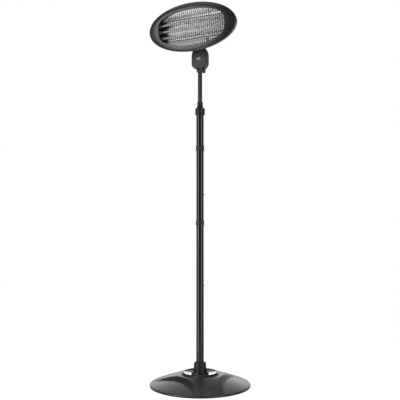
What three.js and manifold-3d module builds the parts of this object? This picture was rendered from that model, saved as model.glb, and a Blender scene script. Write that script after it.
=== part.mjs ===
// Infrared patio heater tower: a weighted round base, a three-piece pole, a telescopic rod with a
// twist lock, and an oval quartz heater head on a tilting neck.
// Units are millimetres and +Z is up. The origin lies on the floor, on the pole's axis, and the
// heater faces -Y.

import * as THREE from 'three';
import { mergeVertices } from 'three/addons/utils/BufferGeometryUtils.js';
import Module from 'manifold-3d';

const wasm = await Module();
wasm.setup();

const { clamp, degToRad, lerp } = THREE.MathUtils;

// ---------------------------------------------------------------- driving dimensions

// Fits
const SEAT_GAP = 0.3; // between two pieces that rest on each other
const SLIDE_GAP = 0.3; // radial, between a sliding piece and its bore
const SCREW_GAP = 0.3; // radial, between a screw and its hole
const BEYOND = 20; // how far a cutting tool reaches past what it cuts

// Roundness
const BASE_SIDES = 40;
const LONG_STEPS = 14; // facets along each long side of the oval
const END_STEPS = 4; // and along each end
const RING_SIDES = 30;
const TUBE_SIDES = 20;
const SMALL_SIDES = 10;
const HOLE_SIDES = 8;
const WIRE_SIDES = 4;

// Base
const BASE_RADIUS = 250;
const COVER_WALL = 2.5;
const COVER_FOOT_Z = 1; // the cover's edge floats this far above the floor
const RIM_Z = 9.7; // height where the dome starts
const SHOULDER_RADIUS = 105; // where the dome meets the raised collar
const SHOULDER_Z = 59.5;
const DOME_BULGE = 2.3; // crown of the dome over a straight cone
const COLLAR_RADIUS = 85; // middle of the collar's lip
const COLLAR_Z = 68;
const LIP_WIDTH = 5;
const PLATE_RADIUS = 79.5;
const PLATE_T = 2.2;
const PLATE_TOP_Z = 58;
const HUB_BORE = 20;
const SCALLOP_COUNT = 3;
const SCALLOP_PHASE = -113.5; // degrees, direction of the first pressed scallop
const SCALLOP_APEX = 113; // from the axis to the scallop's arch
const SCALLOP_ARC = 350; // plan radius of the arch
const FLANK_WIDTH = 29;
const SCALLOP_SHARE = 0.3; // how much of the dome's height is pressed away
const FLOOR_Z = 6; // underside of the floor plate
const FLOOR_T = 1.5;
const FOOT_INSET = 19; // from the cover's edge to the middle of the rubber foot ring
const FOOT_WIDTH = 14;
const BALLAST_INSET = 82; // from the cover's edge to the weight's
const BALLAST_T = 10;
const BALLAST_HUB_RADIUS = 45;
const FLOOR_SCREW_COUNT = 6;
const FLOOR_SCREW_INSET = 18; // from the weight's edge

// Socket and tie bolt
const FLANGE_RADIUS = 44.5;
const FLANGE_T = 7;
const FLANGE_EDGE = 2;
const SLEEVE_RADIUS = 31.7;
const SLEEVE_TOP_Z = 115;
const SLEEVE_FILLET = 3;
const SOCKET_FLOOR_T = 6;
const SOCKET_RIB_COUNT = 6;
const SOCKET_RIB_T = 4;
const SOCKET_SCREW_COUNT = 3;
const TIE_BOLT_R = 5;
const TIE_HEAD_T = 3.5;
const TIE_HEAD_R = 8.5;
const PLUG_LENGTH = 30;

// Pole
const TUBE_R = 19.3;
const TUBE_WALL = 1.5;
const TUBE_PITCH = 458;
const SEAM_1_Z = 500;
const TUBE_TOP_Z = 1386;
const JOINER_LENGTH = 80;
const JOINER_WALL = 2;
const JOINT_SCREW_DROP = 7; // below the seam
const JOINT_SCREW_ANGLE = 25; // degrees from +X
const JOINT_SCREW_R = 2;
const CLIP_HEIGHT = 25;
const CLIP_WALL = 1.6;
const CLIP_Z = [793, 1173]; // undersides of the two cable clips
const HOOK_BORE = 4.6;
const HOOK_WALL = 1.8;
const HOOK_MOUTH = 5;

// Twist lock
const NUT_Z = 1358;
const NUT_R = 24.8;
const NUT_SHOULDER_Z = 1391;
const NUT_NECK_R = 16.5;
const NUT_NECK_Z = 1394;
const NUT_NOSE_R = 14.6;
const NUT_TOP_Z = 1424;
const NUT_FLUTES = 12;
const NUT_WALL = 2;
const FERRULE_Z = 1362;
const FERRULE_WALL = 1.9;
const FERRULE_TOP_T = 1.6;
const COLLET_WALL = 1.1;
const COLLET_FLANGE_T = 2.4;
const COLLET_SLITS = 3;
const COLLET_SLIT = 1.2;

// Telescopic rod
const ROD_R = 11.3;
const ROD_WALL = 1.5;
const ROD_FOOT_Z = 1150;
const BUSH_LENGTH = 30;
const PIVOT_Z = 1586;
const EYE_R = 9;
const EYE_WIDTH = 19;
const KNUCKLE_PLUG = 28;
const BOLT_R = 3;
const WASHER_T = 0.5;

// Neck
const NECK_FRONT_Y = -18;
const NECK_BACK_Y = 15.5;
const NECK_HALF_WIDTH = 41.5;
const NECK_CHIN_HALF = 16;
const NECK_Z = 1594;
const NECK_CHIN_H = 27; // height of the rounded lower corners
const NECK_DOME_Z = 1660; // where the sides turn into the rounded top
const NECK_DOME_H = 56;
const NECK_WALL = 3;
const NECK_EDGE = 5; // moulded rounding of the front edge
const REAR_COVER_T = 4.2;
const EAR_T = 3.2;
const EAR_R = 8.5;
const SLOT_ROOF = 3; // above the eye
const PAD_HALF_WIDTH = 24;
const PAD_T = 10;
const PAD_LOW = -76; // up the head's back, from its middle
const PAD_HIGH = -22;
const PAD_SCREW_X = 15;
const PAD_SCREW_UP = -46;
const PAD_SCREW_R = 2.5;
const DUCT_UP = -60;
const DUCT_R = 4;
const KNOB_CLEAR = 1.5; // round the knob, in the neck's underside
const PULL_HOLE_R = 2.2; // outlet of the switch's pull cord
const BADGE_Z = 1647;
const BADGE_HALF_X = 11.5;
const BADGE_HALF_Z = 6.5;
const BADGE_T = 1.2;
const GLAND_Z = 1622;
const GLAND_R = 6.5;
const GLAND_LENGTH = 9;
const KNOB_R = 14;
const KNOB_T = 10;
const KNOB_HUB_T = 2.4;
const KNOB_LOBES = 8;
const BOLT_HEAD_T = 3.6;
const BOLT_HEAD_R = 5.8;

// Head
const HEAD_Y = -106; // middle of the oval face
const HEAD_Z = 1783;
const HEAD_TILT = 11; // degrees, face down from upright
const RIM_A = 239;
const RIM_B = 118;
const RIM_SKIRT = 14;
const BEZEL_WALL = 2.4;
const BEZEL_CREST = 8;
const LIP_DEPTH = 6; // how far the opening's wall reaches behind the rim plane
const BEZEL_END = 36; // from the rim to the opening's oval, at both ends
const BEZEL_SIDE = 30; // and above and below
const OPENING_CUT = 56; // from the rim's end to the square end of the opening
const OPENING_SHARPNESS = 18; // how tight the four corners are
const CORNER_TURN = 23; // degrees, where the corners lie round the oval
const HOUSING_DEPTH = 66;
const HOUSING_WALL = 2.5;
const BACK_END = 33; // from the rim to the flat back, at both ends
const BACK_SIDE = 34; // and above and below
const VENT_COUNT = 9;
const VENT_PITCH = 13;
const VENT_WIDTH = 3.6;
const VENT_LENGTH = 42;
const VENT_INSET = 81; // from the back's end to the middle of a group of vents
const BOSS_R = 5;
const PEG_R = 1.5;

// Wire guard, behind the bezel's lip
const WIRE_PITCH = 11.4;
const WIRE_R = 1.2;
const FRAME_R = 1.5;
const FRAME_OUTSET = 2; // outside the opening's edge, so that the lip covers it
const CROSS_ROD_SHARE = 0.5; // of the opening's half height
const WELD_BITE = 0.5;

// Reflector, tubes and their brackets
const ELEMENT_PITCH = 32;
const ELEMENT_DEPTH = 24; // tubes' axis behind the rim plane
const QUARTZ_R = 5.5;
const QUARTZ_WALL = 1.1;
const QUARTZ_END_GAP = 3; // from a tube's end to the bracket
const CAP_R = 7.5;
const CAP_GRIP = 9; // length of tube inside a cap
const CAP_NECK_R = 4.4;
const BRACKET_INSET = 7; // from the end of the housing's back
const BRACKET_T = 1.5;
const BRACKET_SIDE = 11; // beyond the outer tubes' axes
const BRACKET_TOP = 12; // upper edge behind the rim plane
const BRACKET_FOOT = 40; // length of the foot, inwards under the reflector's end
const REFLECTOR_END = 26; // from the reflector's end to the bracket
const REFLECTOR_T = 0.8;
const REFLECTOR_FLOOR = 46;
const REFLECTOR_CUSP = 12;
const REFLECTOR_RIM = 14;
const REFLECTOR_INSET = 26; // from the rim to the oval that trims the reflector
const GUARD_TAB_PLACE = 7; // wires from the middle to the tab
const GUARD_TAB_INSET = 17; // from the opening's lower edge
const GUARD_TAB_R = 8;
const GUARD_TAB_T = 1.6;

// ---------------------------------------------------------------- finishes

const finish = (color, roughness, metalness) =>
  () => new THREE.MeshStandardMaterial({ color, roughness, metalness, flatShading: true });

const gunmetalPaint = finish('#3c3d3f', 0.38, 0.1);
const glossBlackPaint = finish('#161617', 0.18, 0.1);
const satinBlackPaint = finish('#333436', 0.5, 0.2);
const blackPlastic = finish('#2a2a2b', 0.6, 0);
const texturedPlastic = finish('#3d3d3e', 0.7, 0);
const greyPlastic = finish('#cfcfcc', 0.55, 0);
const polishedSteel = finish('#d2d3d5', 0.2, 1);
const zincSteel = finish('#a9abae', 0.4, 0.9);
const wireSteel = finish('#8f9194', 0.35, 1);
const polishedAluminium = finish('#dfe1e3', 0.15, 1);
const castIron = finish('#4a4b4d', 0.8, 0.4);
const frostedQuartz = finish('#dcdcd8', 0.35, 0);
const whiteCeramic = finish('#e8e6df', 0.6, 0);
const darkRubber = finish('#1b1b1b', 0.85, 0);

// ---------------------------------------------------------------- solids from geometry

/** Six times the signed volume of an indexed triangle mesh. */
function signedVolume(position, triangles) {
  const [a, b, c] = [new THREE.Vector3(), new THREE.Vector3(), new THREE.Vector3()];
  let sum = 0;
  for (let i = 0; i < triangles.length; i += 3) {
    a.fromArray(position, 3 * triangles[i]);
    b.fromArray(position, 3 * triangles[i + 1]);
    c.fromArray(position, 3 * triangles[i + 2]);
    sum += a.dot(b.cross(c));
  }
  return sum;
}

/** A closed geometry as a solid, with its faces turned outwards. */
function solid(geometry) {
  const bare = geometry.clone();
  bare.deleteAttribute('normal');
  bare.deleteAttribute('uv');
  const merged = mergeVertices(bare, 1e-4);
  const index = merged.index.array;
  const position = merged.attributes.position.array;
  let triangles = [];
  for (let i = 0; i < index.length; i += 3) {
    const [a, b, c] = [index[i], index[i + 1], index[i + 2]];
    if (a !== b && b !== c && c !== a) triangles.push(a, b, c);
  }
  if (signedVolume(position, triangles) < 0) triangles = triangles.reverse();
  return new wasm.Manifold(new wasm.Mesh({
    numProp: 3,
    vertProperties: Float32Array.from(position),
    triVerts: Uint32Array.from(triangles),
  }));
}

/** A solid as a geometry that three.js can show. */
function geometryOf(shape) {
  const mesh = shape.getMesh();
  const geometry = new THREE.BufferGeometry();
  geometry.setAttribute('position', new THREE.BufferAttribute(mesh.vertProperties, 3));
  geometry.setIndex(new THREE.BufferAttribute(mesh.triVerts, 1));
  geometry.computeVertexNormals();
  return geometry;
}

/** Joins solids into one. */
function join(...shapes) {
  return shapes.reduce((whole, next) => whole.add(next));
}

/** Cuts every tool out of a solid. */
function cut(shape, ...tools) {
  return tools.reduce((rest, tool) => rest.subtract(tool), shape);
}

/** A profile of [radius, z] points, closed on itself, turned about Z. */
function turned(profile, sides = TUBE_SIDES) {
  const points = [...profile, profile[0]].map(([r, z]) => new THREE.Vector2(r, z));
  return solid(new THREE.LatheGeometry(points, sides).rotateX(Math.PI / 2));
}

/** A plain or hollow cylinder about Z. */
function barrel(outer, inner, z0, z1, sides = TUBE_SIDES) {
  return turned([[inner, z0], [outer, z0], [outer, z1], [inner, z1]], sides);
}

/** A rod about Z, with no bore. */
function rod(radius, z0, z1, sides = SMALL_SIDES) {
  const shape = new THREE.CylinderGeometry(radius, radius, z1 - z0, sides);
  return solid(shape.rotateX(Math.PI / 2).translate(0, 0, (z0 + z1) / 2));
}

/** A rod about X, with its middle line at (y, z). */
function crossRod(radius, x0, x1, y, z, sides = SMALL_SIDES) {
  const shape = new THREE.CylinderGeometry(radius, radius, x1 - x0, sides);
  return solid(shape.rotateZ(Math.PI / 2).translate((x0 + x1) / 2, y, z));
}

/** A box between two corners. */
function block(low, high) {
  const size = high.map((value, axis) => value - low[axis]);
  const middle = high.map((value, axis) => (value + low[axis]) / 2);
  return solid(new THREE.BoxGeometry(...size).translate(...middle));
}

/** A flat outline in X and Y, raised from z0 to z1. */
function raised(shape, z0, z1, options = {}) {
  const settings = { depth: z1 - z0, bevelEnabled: false, curveSegments: 6, ...options };
  return solid(new THREE.ExtrudeGeometry(shape, settings).translate(0, 0, z0));
}

/** An outline from [x, y] corners. */
function outline(corners) {
  return new THREE.Shape(corners.map(([x, y]) => new THREE.Vector2(x, y)));
}

/** Copies of a solid around Z. */
function around(count, radius, shape, start = 0) {
  const copies = [];
  for (let i = 0; i < count; i += 1) {
    copies.push(shape.translate([radius, 0, 0]).rotate([0, 0, start + (360 * i) / count]));
  }
  return copies;
}

/** A screw along Z: its head's underside is at z, and the shank points down. */
function screw(shankR, length, headR, headT, z = 0) {
  const head = turned([
    [0, z], [headR, z], [headR, z + headT * 0.5], [headR * 0.7, z + headT], [0, z + headT],
  ], 10);
  return head.add(rod(shankR, z - length, z + headT * 0.4, HOLE_SIDES));
}

/**
 * Skin over sections that each give a point at an angle round Z. The last section joins the
 * first, or else the first and the last both shrink to a point.
 */
function lofted(sections, turns, closesOnItself = true) {
  const sides = turns.length;
  const vertices = sections.flatMap((section) => turns.flatMap((turn) => section(turn)));
  const triangles = [];
  const last = closesOnItself ? sections.length : sections.length - 1;
  for (let row = 0; row < last; row += 1) {
    const nextRow = (row + 1) % sections.length;
    for (let i = 0; i < sides; i += 1) {
      const j = (i + 1) % sides;
      const [a, b] = [row * sides + i, row * sides + j];
      const [c, d] = [nextRow * sides + j, nextRow * sides + i];
      triangles.push(a, b, c, a, c, d);
    }
  }
  const geometry = new THREE.BufferGeometry();
  geometry.setAttribute('position', new THREE.Float32BufferAttribute(vertices, 3));
  geometry.setIndex(triangles);
  return solid(geometry);
}

// ---------------------------------------------------------------- base

/** Height of the plain dome at a radius, before the scallops are pressed in. */
function domeHeight(radius) {
  const share = (radius - SHOULDER_RADIUS) / (BASE_RADIUS - SHOULDER_RADIUS);
  const cone = lerp(SHOULDER_Z, RIM_Z, share);
  return cone + 4 * DOME_BULGE * share * (1 - share);
}

/** How far a point of the cover is pressed down by the three arched scallops. */
function pressedDepth(x, y) {
  const radius = Math.hypot(x, y);
  let sunk = 0;
  for (let i = 0; i < SCALLOP_COUNT; i += 1) {
    const turn = degToRad(SCALLOP_PHASE) + (2 * Math.PI * i) / SCALLOP_COUNT;
    const along = x * Math.cos(turn) + y * Math.sin(turn);
    const across = y * Math.cos(turn) - x * Math.sin(turn);
    const inside = SCALLOP_ARC - Math.hypot(along - SCALLOP_APEX - SCALLOP_ARC, across);
    sunk = Math.max(sunk, clamp(inside / FLANK_WIDTH, 0, 1));
  }
  return sunk * SCALLOP_SHARE * Math.max(0, domeHeight(radius) - RIM_Z);
}

/** Points of the dome from the shoulder to the rim, lowered by a wall. */
function domePoints(count, wall) {
  const points = [];
  for (let i = 0; i <= count; i += 1) {
    const radius = lerp(SHOULDER_RADIUS, BASE_RADIUS - COVER_WALL, i / count);
    points.push([radius, domeHeight(radius) - wall]);
  }
  return points;
}

const recessZ = PLATE_TOP_Z - PLATE_T - SEAT_GAP; // the cover's floor under the centre plate
const lipInner = COLLAR_RADIUS - LIP_WIDTH / 2;
const lipOuter = COLLAR_RADIUS + LIP_WIDTH / 2;

/** Pressed cover: dome, raised collar, recess for the centre plate and three scallops. */
function baseCover() {
  const recessR = PLATE_RADIUS + SEAT_GAP;
  const outer = [
    [HUB_BORE, recessZ], [recessR, recessZ], [lipInner, COLLAR_Z - 1.5],
    [COLLAR_RADIUS, COLLAR_Z], [lipOuter, COLLAR_Z - 1],
    [lerp(lipOuter, SHOULDER_RADIUS, 0.35), lerp(COLLAR_Z, SHOULDER_Z, 0.72)],
    ...domePoints(6, 0),
    [BASE_RADIUS, RIM_Z - 1.5], [BASE_RADIUS, COVER_FOOT_Z],
  ];
  const inner = [
    [BASE_RADIUS - COVER_WALL, COVER_FOOT_Z],
    ...domePoints(2, COVER_WALL).reverse(),
    [lipInner + 1.5, SHOULDER_Z - COVER_WALL], [recessR + COVER_WALL, recessZ - COVER_WALL],
    [HUB_BORE, recessZ - COVER_WALL],
  ];
  const points = [...outer, ...inner, outer[0]].map(([r, z]) => new THREE.Vector2(r, z));
  const shell = new THREE.LatheGeometry(points, BASE_SIDES).rotateX(Math.PI / 2);
  const position = shell.attributes.position;
  for (let i = 0; i < position.count; i += 1) {
    const sunk = pressedDepth(position.getX(i), position.getY(i));
    position.setZ(i, position.getZ(i) - sunk);
  }
  const screwHole = rod(socketScrewR + SCREW_GAP, recessZ - 2 * COVER_WALL, recessZ + 1, HOLE_SIDES);
  return cut(
    solid(shell), ...around(SOCKET_SCREW_COUNT, socketScrewCircle, screwHole, socketScrewTurn),
  );
}

const socketScrewR = 2.2;
const socketScrewCircle = (SLEEVE_RADIUS + SLEEVE_FILLET + FLANGE_RADIUS - FLANGE_EDGE) / 2;
const socketScrewTurn = 30; // degrees, so that the screws lie between the ribs
const ballastZ = FLOOR_Z + FLOOR_T + SEAT_GAP;
const ballastR = BASE_RADIUS - BALLAST_INSET;
const floorScrewR = 2;
const floorScrewCircle = ballastR - FLOOR_SCREW_INSET;
const hubTopZ = recessZ - COVER_WALL - SEAT_GAP;

/** Cast weight: a disc with a hub that carries the socket. */
function baseBallast() {
  const body = turned([
    [HUB_BORE - 8, ballastZ], [ballastR, ballastZ], [ballastR, ballastZ + BALLAST_T - 3],
    [ballastR - 4, ballastZ + BALLAST_T], [BALLAST_HUB_RADIUS + 8, ballastZ + BALLAST_T],
    [BALLAST_HUB_RADIUS, ballastZ + BALLAST_T + 8], [BALLAST_HUB_RADIUS, hubTopZ],
    [HUB_BORE - 8, hubTopZ],
  ]);
  const screwHole = rod(socketScrewR + SCREW_GAP, hubTopZ - 20, hubTopZ + 1, HOLE_SIDES);
  const floorHole = rod(floorScrewR + SCREW_GAP, ballastZ - 1, ballastZ + 8, HOLE_SIDES);
  return cut(
    body,
    ...around(SOCKET_SCREW_COUNT, socketScrewCircle, screwHole, socketScrewTurn),
    ...around(FLOOR_SCREW_COUNT, floorScrewCircle, floorHole),
  );
}

/** Sheet steel that closes the base from below. */
function baseFloorPlate() {
  const radius = BASE_RADIUS - COVER_WALL - SEAT_GAP;
  const plate = barrel(radius, TIE_BOLT_R + SCREW_GAP, FLOOR_Z, FLOOR_Z + FLOOR_T, BASE_SIDES);
  const hole = rod(floorScrewR + SCREW_GAP, FLOOR_Z - 1, FLOOR_Z + FLOOR_T + 1, HOLE_SIDES);
  return cut(plate, ...around(FLOOR_SCREW_COUNT, floorScrewCircle, hole));
}

/** Rubber ring that the stand rests on. */
function footRing() {
  const middle = BASE_RADIUS - FOOT_INSET;
  const [inner, outer] = [middle - FOOT_WIDTH / 2, middle + FOOT_WIDTH / 2];
  return turned([
    [inner + 1, 0], [outer - 1, 0], [outer, 1], [outer, FLOOR_Z - SEAT_GAP],
    [inner, FLOOR_Z - SEAT_GAP], [inner, 1],
  ], RING_SIDES);
}

/** Bright washer plate in the collar's recess. */
function centrePlate() {
  const z = PLATE_TOP_Z - PLATE_T;
  const disc = turned([
    [HUB_BORE, z], [PLATE_RADIUS, z], [PLATE_RADIUS, PLATE_TOP_Z - 0.8],
    [PLATE_RADIUS - 0.8, PLATE_TOP_Z], [HUB_BORE, PLATE_TOP_Z],
  ], RING_SIDES);
  const hole = rod(socketScrewR + SCREW_GAP, z - 1, PLATE_TOP_Z + 1, HOLE_SIDES);
  return cut(disc, ...around(SOCKET_SCREW_COUNT, socketScrewCircle, hole, socketScrewTurn));
}

const socketZ = PLATE_TOP_Z + SEAT_GAP;
const tubeFootZ = socketZ + SOCKET_FLOOR_T + SEAT_GAP;

/** Moulded socket with a ribbed flange that grips the foot of the pole. */
function poleSocket() {
  const bore = TUBE_R + SEAT_GAP;
  const flangeTop = socketZ + FLANGE_T;
  const body = turned([
    [TIE_BOLT_R + SCREW_GAP, socketZ], [FLANGE_RADIUS, socketZ], [FLANGE_RADIUS, flangeTop - FLANGE_EDGE],
    [FLANGE_RADIUS - FLANGE_EDGE, flangeTop], [SLEEVE_RADIUS + SLEEVE_FILLET, flangeTop],
    [SLEEVE_RADIUS, flangeTop + SLEEVE_FILLET],
    [SLEEVE_RADIUS - 0.7, SLEEVE_TOP_Z - 5], [SLEEVE_RADIUS - 4.5, SLEEVE_TOP_Z], [bore, SLEEVE_TOP_Z],
    [bore, socketZ + SOCKET_FLOOR_T], [TIE_BOLT_R + SCREW_GAP, socketZ + SOCKET_FLOOR_T],
  ]);
  const ribOutline = outline([
    [SLEEVE_RADIUS - 1.5, flangeTop - 1], [FLANGE_RADIUS - 4, flangeTop - 1],
    [SLEEVE_RADIUS - 1.5, SLEEVE_TOP_Z - 16],
  ]);
  const rib = raised(ribOutline, -SOCKET_RIB_T / 2, SOCKET_RIB_T / 2).rotate([90, 0, 0]);
  const hole = rod(socketScrewR + SCREW_GAP, socketZ - 1, flangeTop + 1, HOLE_SIDES);
  return cut(
    join(body, ...around(SOCKET_RIB_COUNT, 0, rib)),
    ...around(SOCKET_SCREW_COUNT, socketScrewCircle, hole, socketScrewTurn),
  );
}

/** Screws through the flange, the plate and the cover into the hub. */
function socketScrews() {
  const one = screw(socketScrewR, FLANGE_T + 22, 3.6, 2.4, socketZ + FLANGE_T + SEAT_GAP);
  return around(SOCKET_SCREW_COUNT, socketScrewCircle, one, socketScrewTurn);
}

const tieHeadZ = FLOOR_Z - SEAT_GAP - TIE_HEAD_T;

/** Bolt from below that pulls the pole into its socket. */
function tieBolt() {
  const head = rod(TIE_HEAD_R, tieHeadZ, tieHeadZ + TIE_HEAD_T, 6);
  return head.add(rod(TIE_BOLT_R, tieHeadZ + 1, tubeFootZ + PLUG_LENGTH - 4, SMALL_SIDES));
}

/** Threaded plug pressed into the foot of the lower tube. */
function tubePlug() {
  const outer = TUBE_R - TUBE_WALL - SEAT_GAP;
  return barrel(outer, TIE_BOLT_R + SCREW_GAP, tubeFootZ + 1, tubeFootZ + PLUG_LENGTH);
}

// ---------------------------------------------------------------- pole

const seam2Z = SEAM_1_Z + TUBE_PITCH;
const tubeBore = TUBE_R - TUBE_WALL;
const joinerR = tubeBore - SEAT_GAP;

/** Hole for a joint screw, square to the pole's axis. */
function jointScrewHole(seamZ) {
  return crossRod(JOINT_SCREW_R + SCREW_GAP, joinerR - JOINER_WALL - 2, TUBE_R + 3, 0, 0, HOLE_SIDES)
    .rotate([0, 0, JOINT_SCREW_ANGLE]).translate([0, 0, seamZ - JOINT_SCREW_DROP]);
}

/** One length of the pole, with the holes of the screws given by their seams. */
function poleTube(z0, z1, seams) {
  return cut(barrel(TUBE_R, tubeBore, z0, z1), ...seams.map(jointScrewHole));
}

/** Inner sleeve that lines up two lengths of the pole. */
function tubeJoiner(seamZ) {
  const half = JOINER_LENGTH / 2;
  const sleeve = barrel(joinerR, joinerR - JOINER_WALL, seamZ - half, seamZ + half);
  return cut(sleeve, jointScrewHole(seamZ));
}

/** Button-head screw just under a seam. */
function joinerScrew(seamZ) {
  const one = screw(JOINT_SCREW_R, TUBE_WALL + JOINER_WALL + 1.2, 3.4, 1.8).rotate([0, 90, 0]);
  const seated = one.translate([TUBE_R + SEAT_GAP, 0, 0]).rotate([0, 0, JOINT_SCREW_ANGLE]);
  return seated.translate([0, 0, seamZ - JOINT_SCREW_DROP]);
}

const clipR = TUBE_R + SEAT_GAP;
const hookY = clipR + CLIP_WALL + HOOK_BORE; // middle of the cable hook, behind the pole

/** Snap band with an open hook for the cable at the back. */
function cableClip(z) {
  const top = z + CLIP_HEIGHT;
  const hook = barrel(HOOK_BORE + HOOK_WALL, HOOK_BORE, z, top, SMALL_SIDES).translate([0, hookY, 0]);
  const mouthY = hookY + HOOK_BORE * 0.6;
  const mouth = block([-HOOK_MOUTH / 2, mouthY, z - 1], [HOOK_MOUTH / 2, hookY + 12, top + 1]);
  const band = join(barrel(clipR + CLIP_WALL, clipR, z, top), hook);
  return cut(band, mouth, rod(clipR, z - 1, top + 1, TUBE_SIDES));
}

// ---------------------------------------------------------------- twist lock

const ferruleR = TUBE_R + SEAT_GAP + FERRULE_WALL;
const ferruleTopZ = TUBE_TOP_Z + SEAT_GAP + FERRULE_TOP_T;
const rodBore = ROD_R + SLIDE_GAP;
const colletR = rodBore + COLLET_WALL;
const colletZ = ferruleTopZ + SEAT_GAP;
const colletFlangeR = NUT_NECK_R - NUT_WALL - SLIDE_GAP;

/** Threaded collar on the top of the pole. */
function mastFerrule() {
  return turned([
    [TUBE_R + SEAT_GAP, FERRULE_Z], [ferruleR, FERRULE_Z], [ferruleR, ferruleTopZ - 1.5],
    [ferruleR - 1.5, ferruleTopZ], [rodBore, ferruleTopZ], [rodBore, ferruleTopZ - FERRULE_TOP_T],
    [TUBE_R + SEAT_GAP, ferruleTopZ - FERRULE_TOP_T],
  ]);
}

/** Hand nut: a fluted skirt, a shoulder and a tapered nose that squeezes the collet. */
function lockNut() {
  const bore = ferruleR + SLIDE_GAP;
  const noseBore = colletR + SLIDE_GAP;
  const body = turned([
    [bore, NUT_Z], [NUT_R - 0.8, NUT_Z], [NUT_R, NUT_Z + 2], [NUT_R, NUT_SHOULDER_Z - 3],
    [NUT_R - 1.5, NUT_SHOULDER_Z], [NUT_NECK_R, NUT_NECK_Z], [NUT_NOSE_R, NUT_TOP_Z - 18],
    [NUT_NOSE_R, NUT_TOP_Z - 1.5], [NUT_NOSE_R - 1, NUT_TOP_Z], [noseBore, NUT_TOP_Z],
    [noseBore, colletZ + COLLET_FLANGE_T + SLIDE_GAP],
    [colletFlangeR + SLIDE_GAP, colletZ + COLLET_FLANGE_T + SLIDE_GAP],
    [colletFlangeR + SLIDE_GAP, ferruleTopZ + SLIDE_GAP], [bore, ferruleTopZ + SLIDE_GAP],
  ]);
  const flute = rod(1.8, NUT_Z + 5, NUT_SHOULDER_Z - 5, 4);
  return cut(body, ...around(NUT_FLUTES, NUT_R + 0.9, flute));
}

/** Split sleeve that the nut squeezes onto the rod. */
function clampCollet() {
  const top = NUT_TOP_Z + 1;
  const sleeve = turned([
    [rodBore, colletZ], [colletFlangeR, colletZ], [colletFlangeR, colletZ + COLLET_FLANGE_T],
    [colletR, colletZ + COLLET_FLANGE_T], [colletR, top - 1], [colletR - 0.6, top], [rodBore, top],
  ]);
  const slit = block(
    [0, -COLLET_SLIT / 2, colletZ + COLLET_FLANGE_T + 4],
    [colletR + 2, COLLET_SLIT / 2, top + 1],
  );
  return cut(sleeve, ...around(COLLET_SLITS, 0, slit));
}

// ---------------------------------------------------------------- telescopic rod and pivot

const rodTopZ = PIVOT_Z - EAR_R - 2; // clear of the ears as they turn

/** Steel tube that slides in the pole. */
function mastRod() {
  return barrel(ROD_R, ROD_R - ROD_WALL, ROD_FOOT_Z, rodTopZ);
}

/** Nylon bush on the rod's foot, sliding in the upper tube. */
function rodGuideBush() {
  const outer = tubeBore - SLIDE_GAP;
  return barrel(outer, ROD_R + SEAT_GAP, ROD_FOOT_Z, ROD_FOOT_Z + BUSH_LENGTH);
}

/** Cast eye plugged into the rod's top, bored for the tilt bolt. */
function rodKnuckle() {
  const plugR = ROD_R - ROD_WALL - SEAT_GAP;
  const collarZ = rodTopZ + SEAT_GAP;
  const half = EYE_WIDTH / 2;
  const plug = rod(plugR, rodTopZ - KNUCKLE_PLUG, collarZ + 1, TUBE_SIDES);
  const collar = rod(ROD_R, collarZ, PIVOT_Z - 3, TUBE_SIDES);
  const cheeks = block([-half, -ROD_R, collarZ], [half, ROD_R, PIVOT_Z + EYE_R]);
  const eye = crossRod(EYE_R, -half, half, 0, PIVOT_Z, TUBE_SIDES);
  const bore = crossRod(BOLT_R + SLIDE_GAP, -half - 1, half + 1, 0, PIVOT_Z);
  return cut(join(plug, join(collar, eye).intersect(cheeks)), bore);
}

const earX = EYE_WIDTH / 2 + WASHER_T + 2 * SEAT_GAP; // inner face of each ear
const earOuterX = earX + EAR_T;

/** Fibre friction washer between the eye and one ear. */
function frictionWasher(side) {
  const ring = barrel(EAR_R - 0.5, BOLT_R + SCREW_GAP, 0, WASHER_T, 16).rotate([0, 90, 0]);
  const inner = EYE_WIDTH / 2 + SEAT_GAP;
  return ring.translate([side > 0 ? inner : -inner - WASHER_T, 0, PIVOT_Z]);
}

const knobX = earOuterX + SEAT_GAP;
const boltEndX = knobX + KNOB_T;

/** Hexagon bolt through both ears and the eye. */
function tiltBolt() {
  const headX = earOuterX + SEAT_GAP;
  const head = crossRod(BOLT_HEAD_R, -headX - BOLT_HEAD_T, -headX, 0, PIVOT_Z, 6);
  return head.add(crossRod(BOLT_R, -headX - 1, boltEndX - 1, 0, PIVOT_Z));
}

/** Lobed hand knob that clamps the tilt. */
function tiltKnob() {
  const shape = new THREE.Shape();
  const steps = KNOB_LOBES * 4;
  for (let i = 0; i < steps; i += 1) {
    const turn = (2 * Math.PI * i) / steps;
    const radius = KNOB_R - 0.7 + 0.7 * Math.cos(KNOB_LOBES * turn);
    const point = [radius * Math.cos(turn), radius * Math.sin(turn)];
    if (i === 0) shape.moveTo(...point);
    else shape.lineTo(...point);
  }
  const edge = 1.5;
  const bevel = {
    bevelEnabled: true, bevelSize: edge, bevelThickness: edge, bevelOffset: -edge, bevelSegments: 1,
  };
  const grip = raised(shape, KNOB_HUB_T + edge, KNOB_HUB_T + KNOB_T - edge, bevel);
  const hub = rod(BOLT_HEAD_R + 1.5, 0, KNOB_HUB_T + 1, 20);
  const bore = rod(BOLT_R + SCREW_GAP, -1, KNOB_T, SMALL_SIDES);
  return cut(join(grip, hub), bore).rotate([0, 90, 0]).translate([knobX, 0, PIVOT_Z]);
}

// ---------------------------------------------------------------- neck

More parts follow.
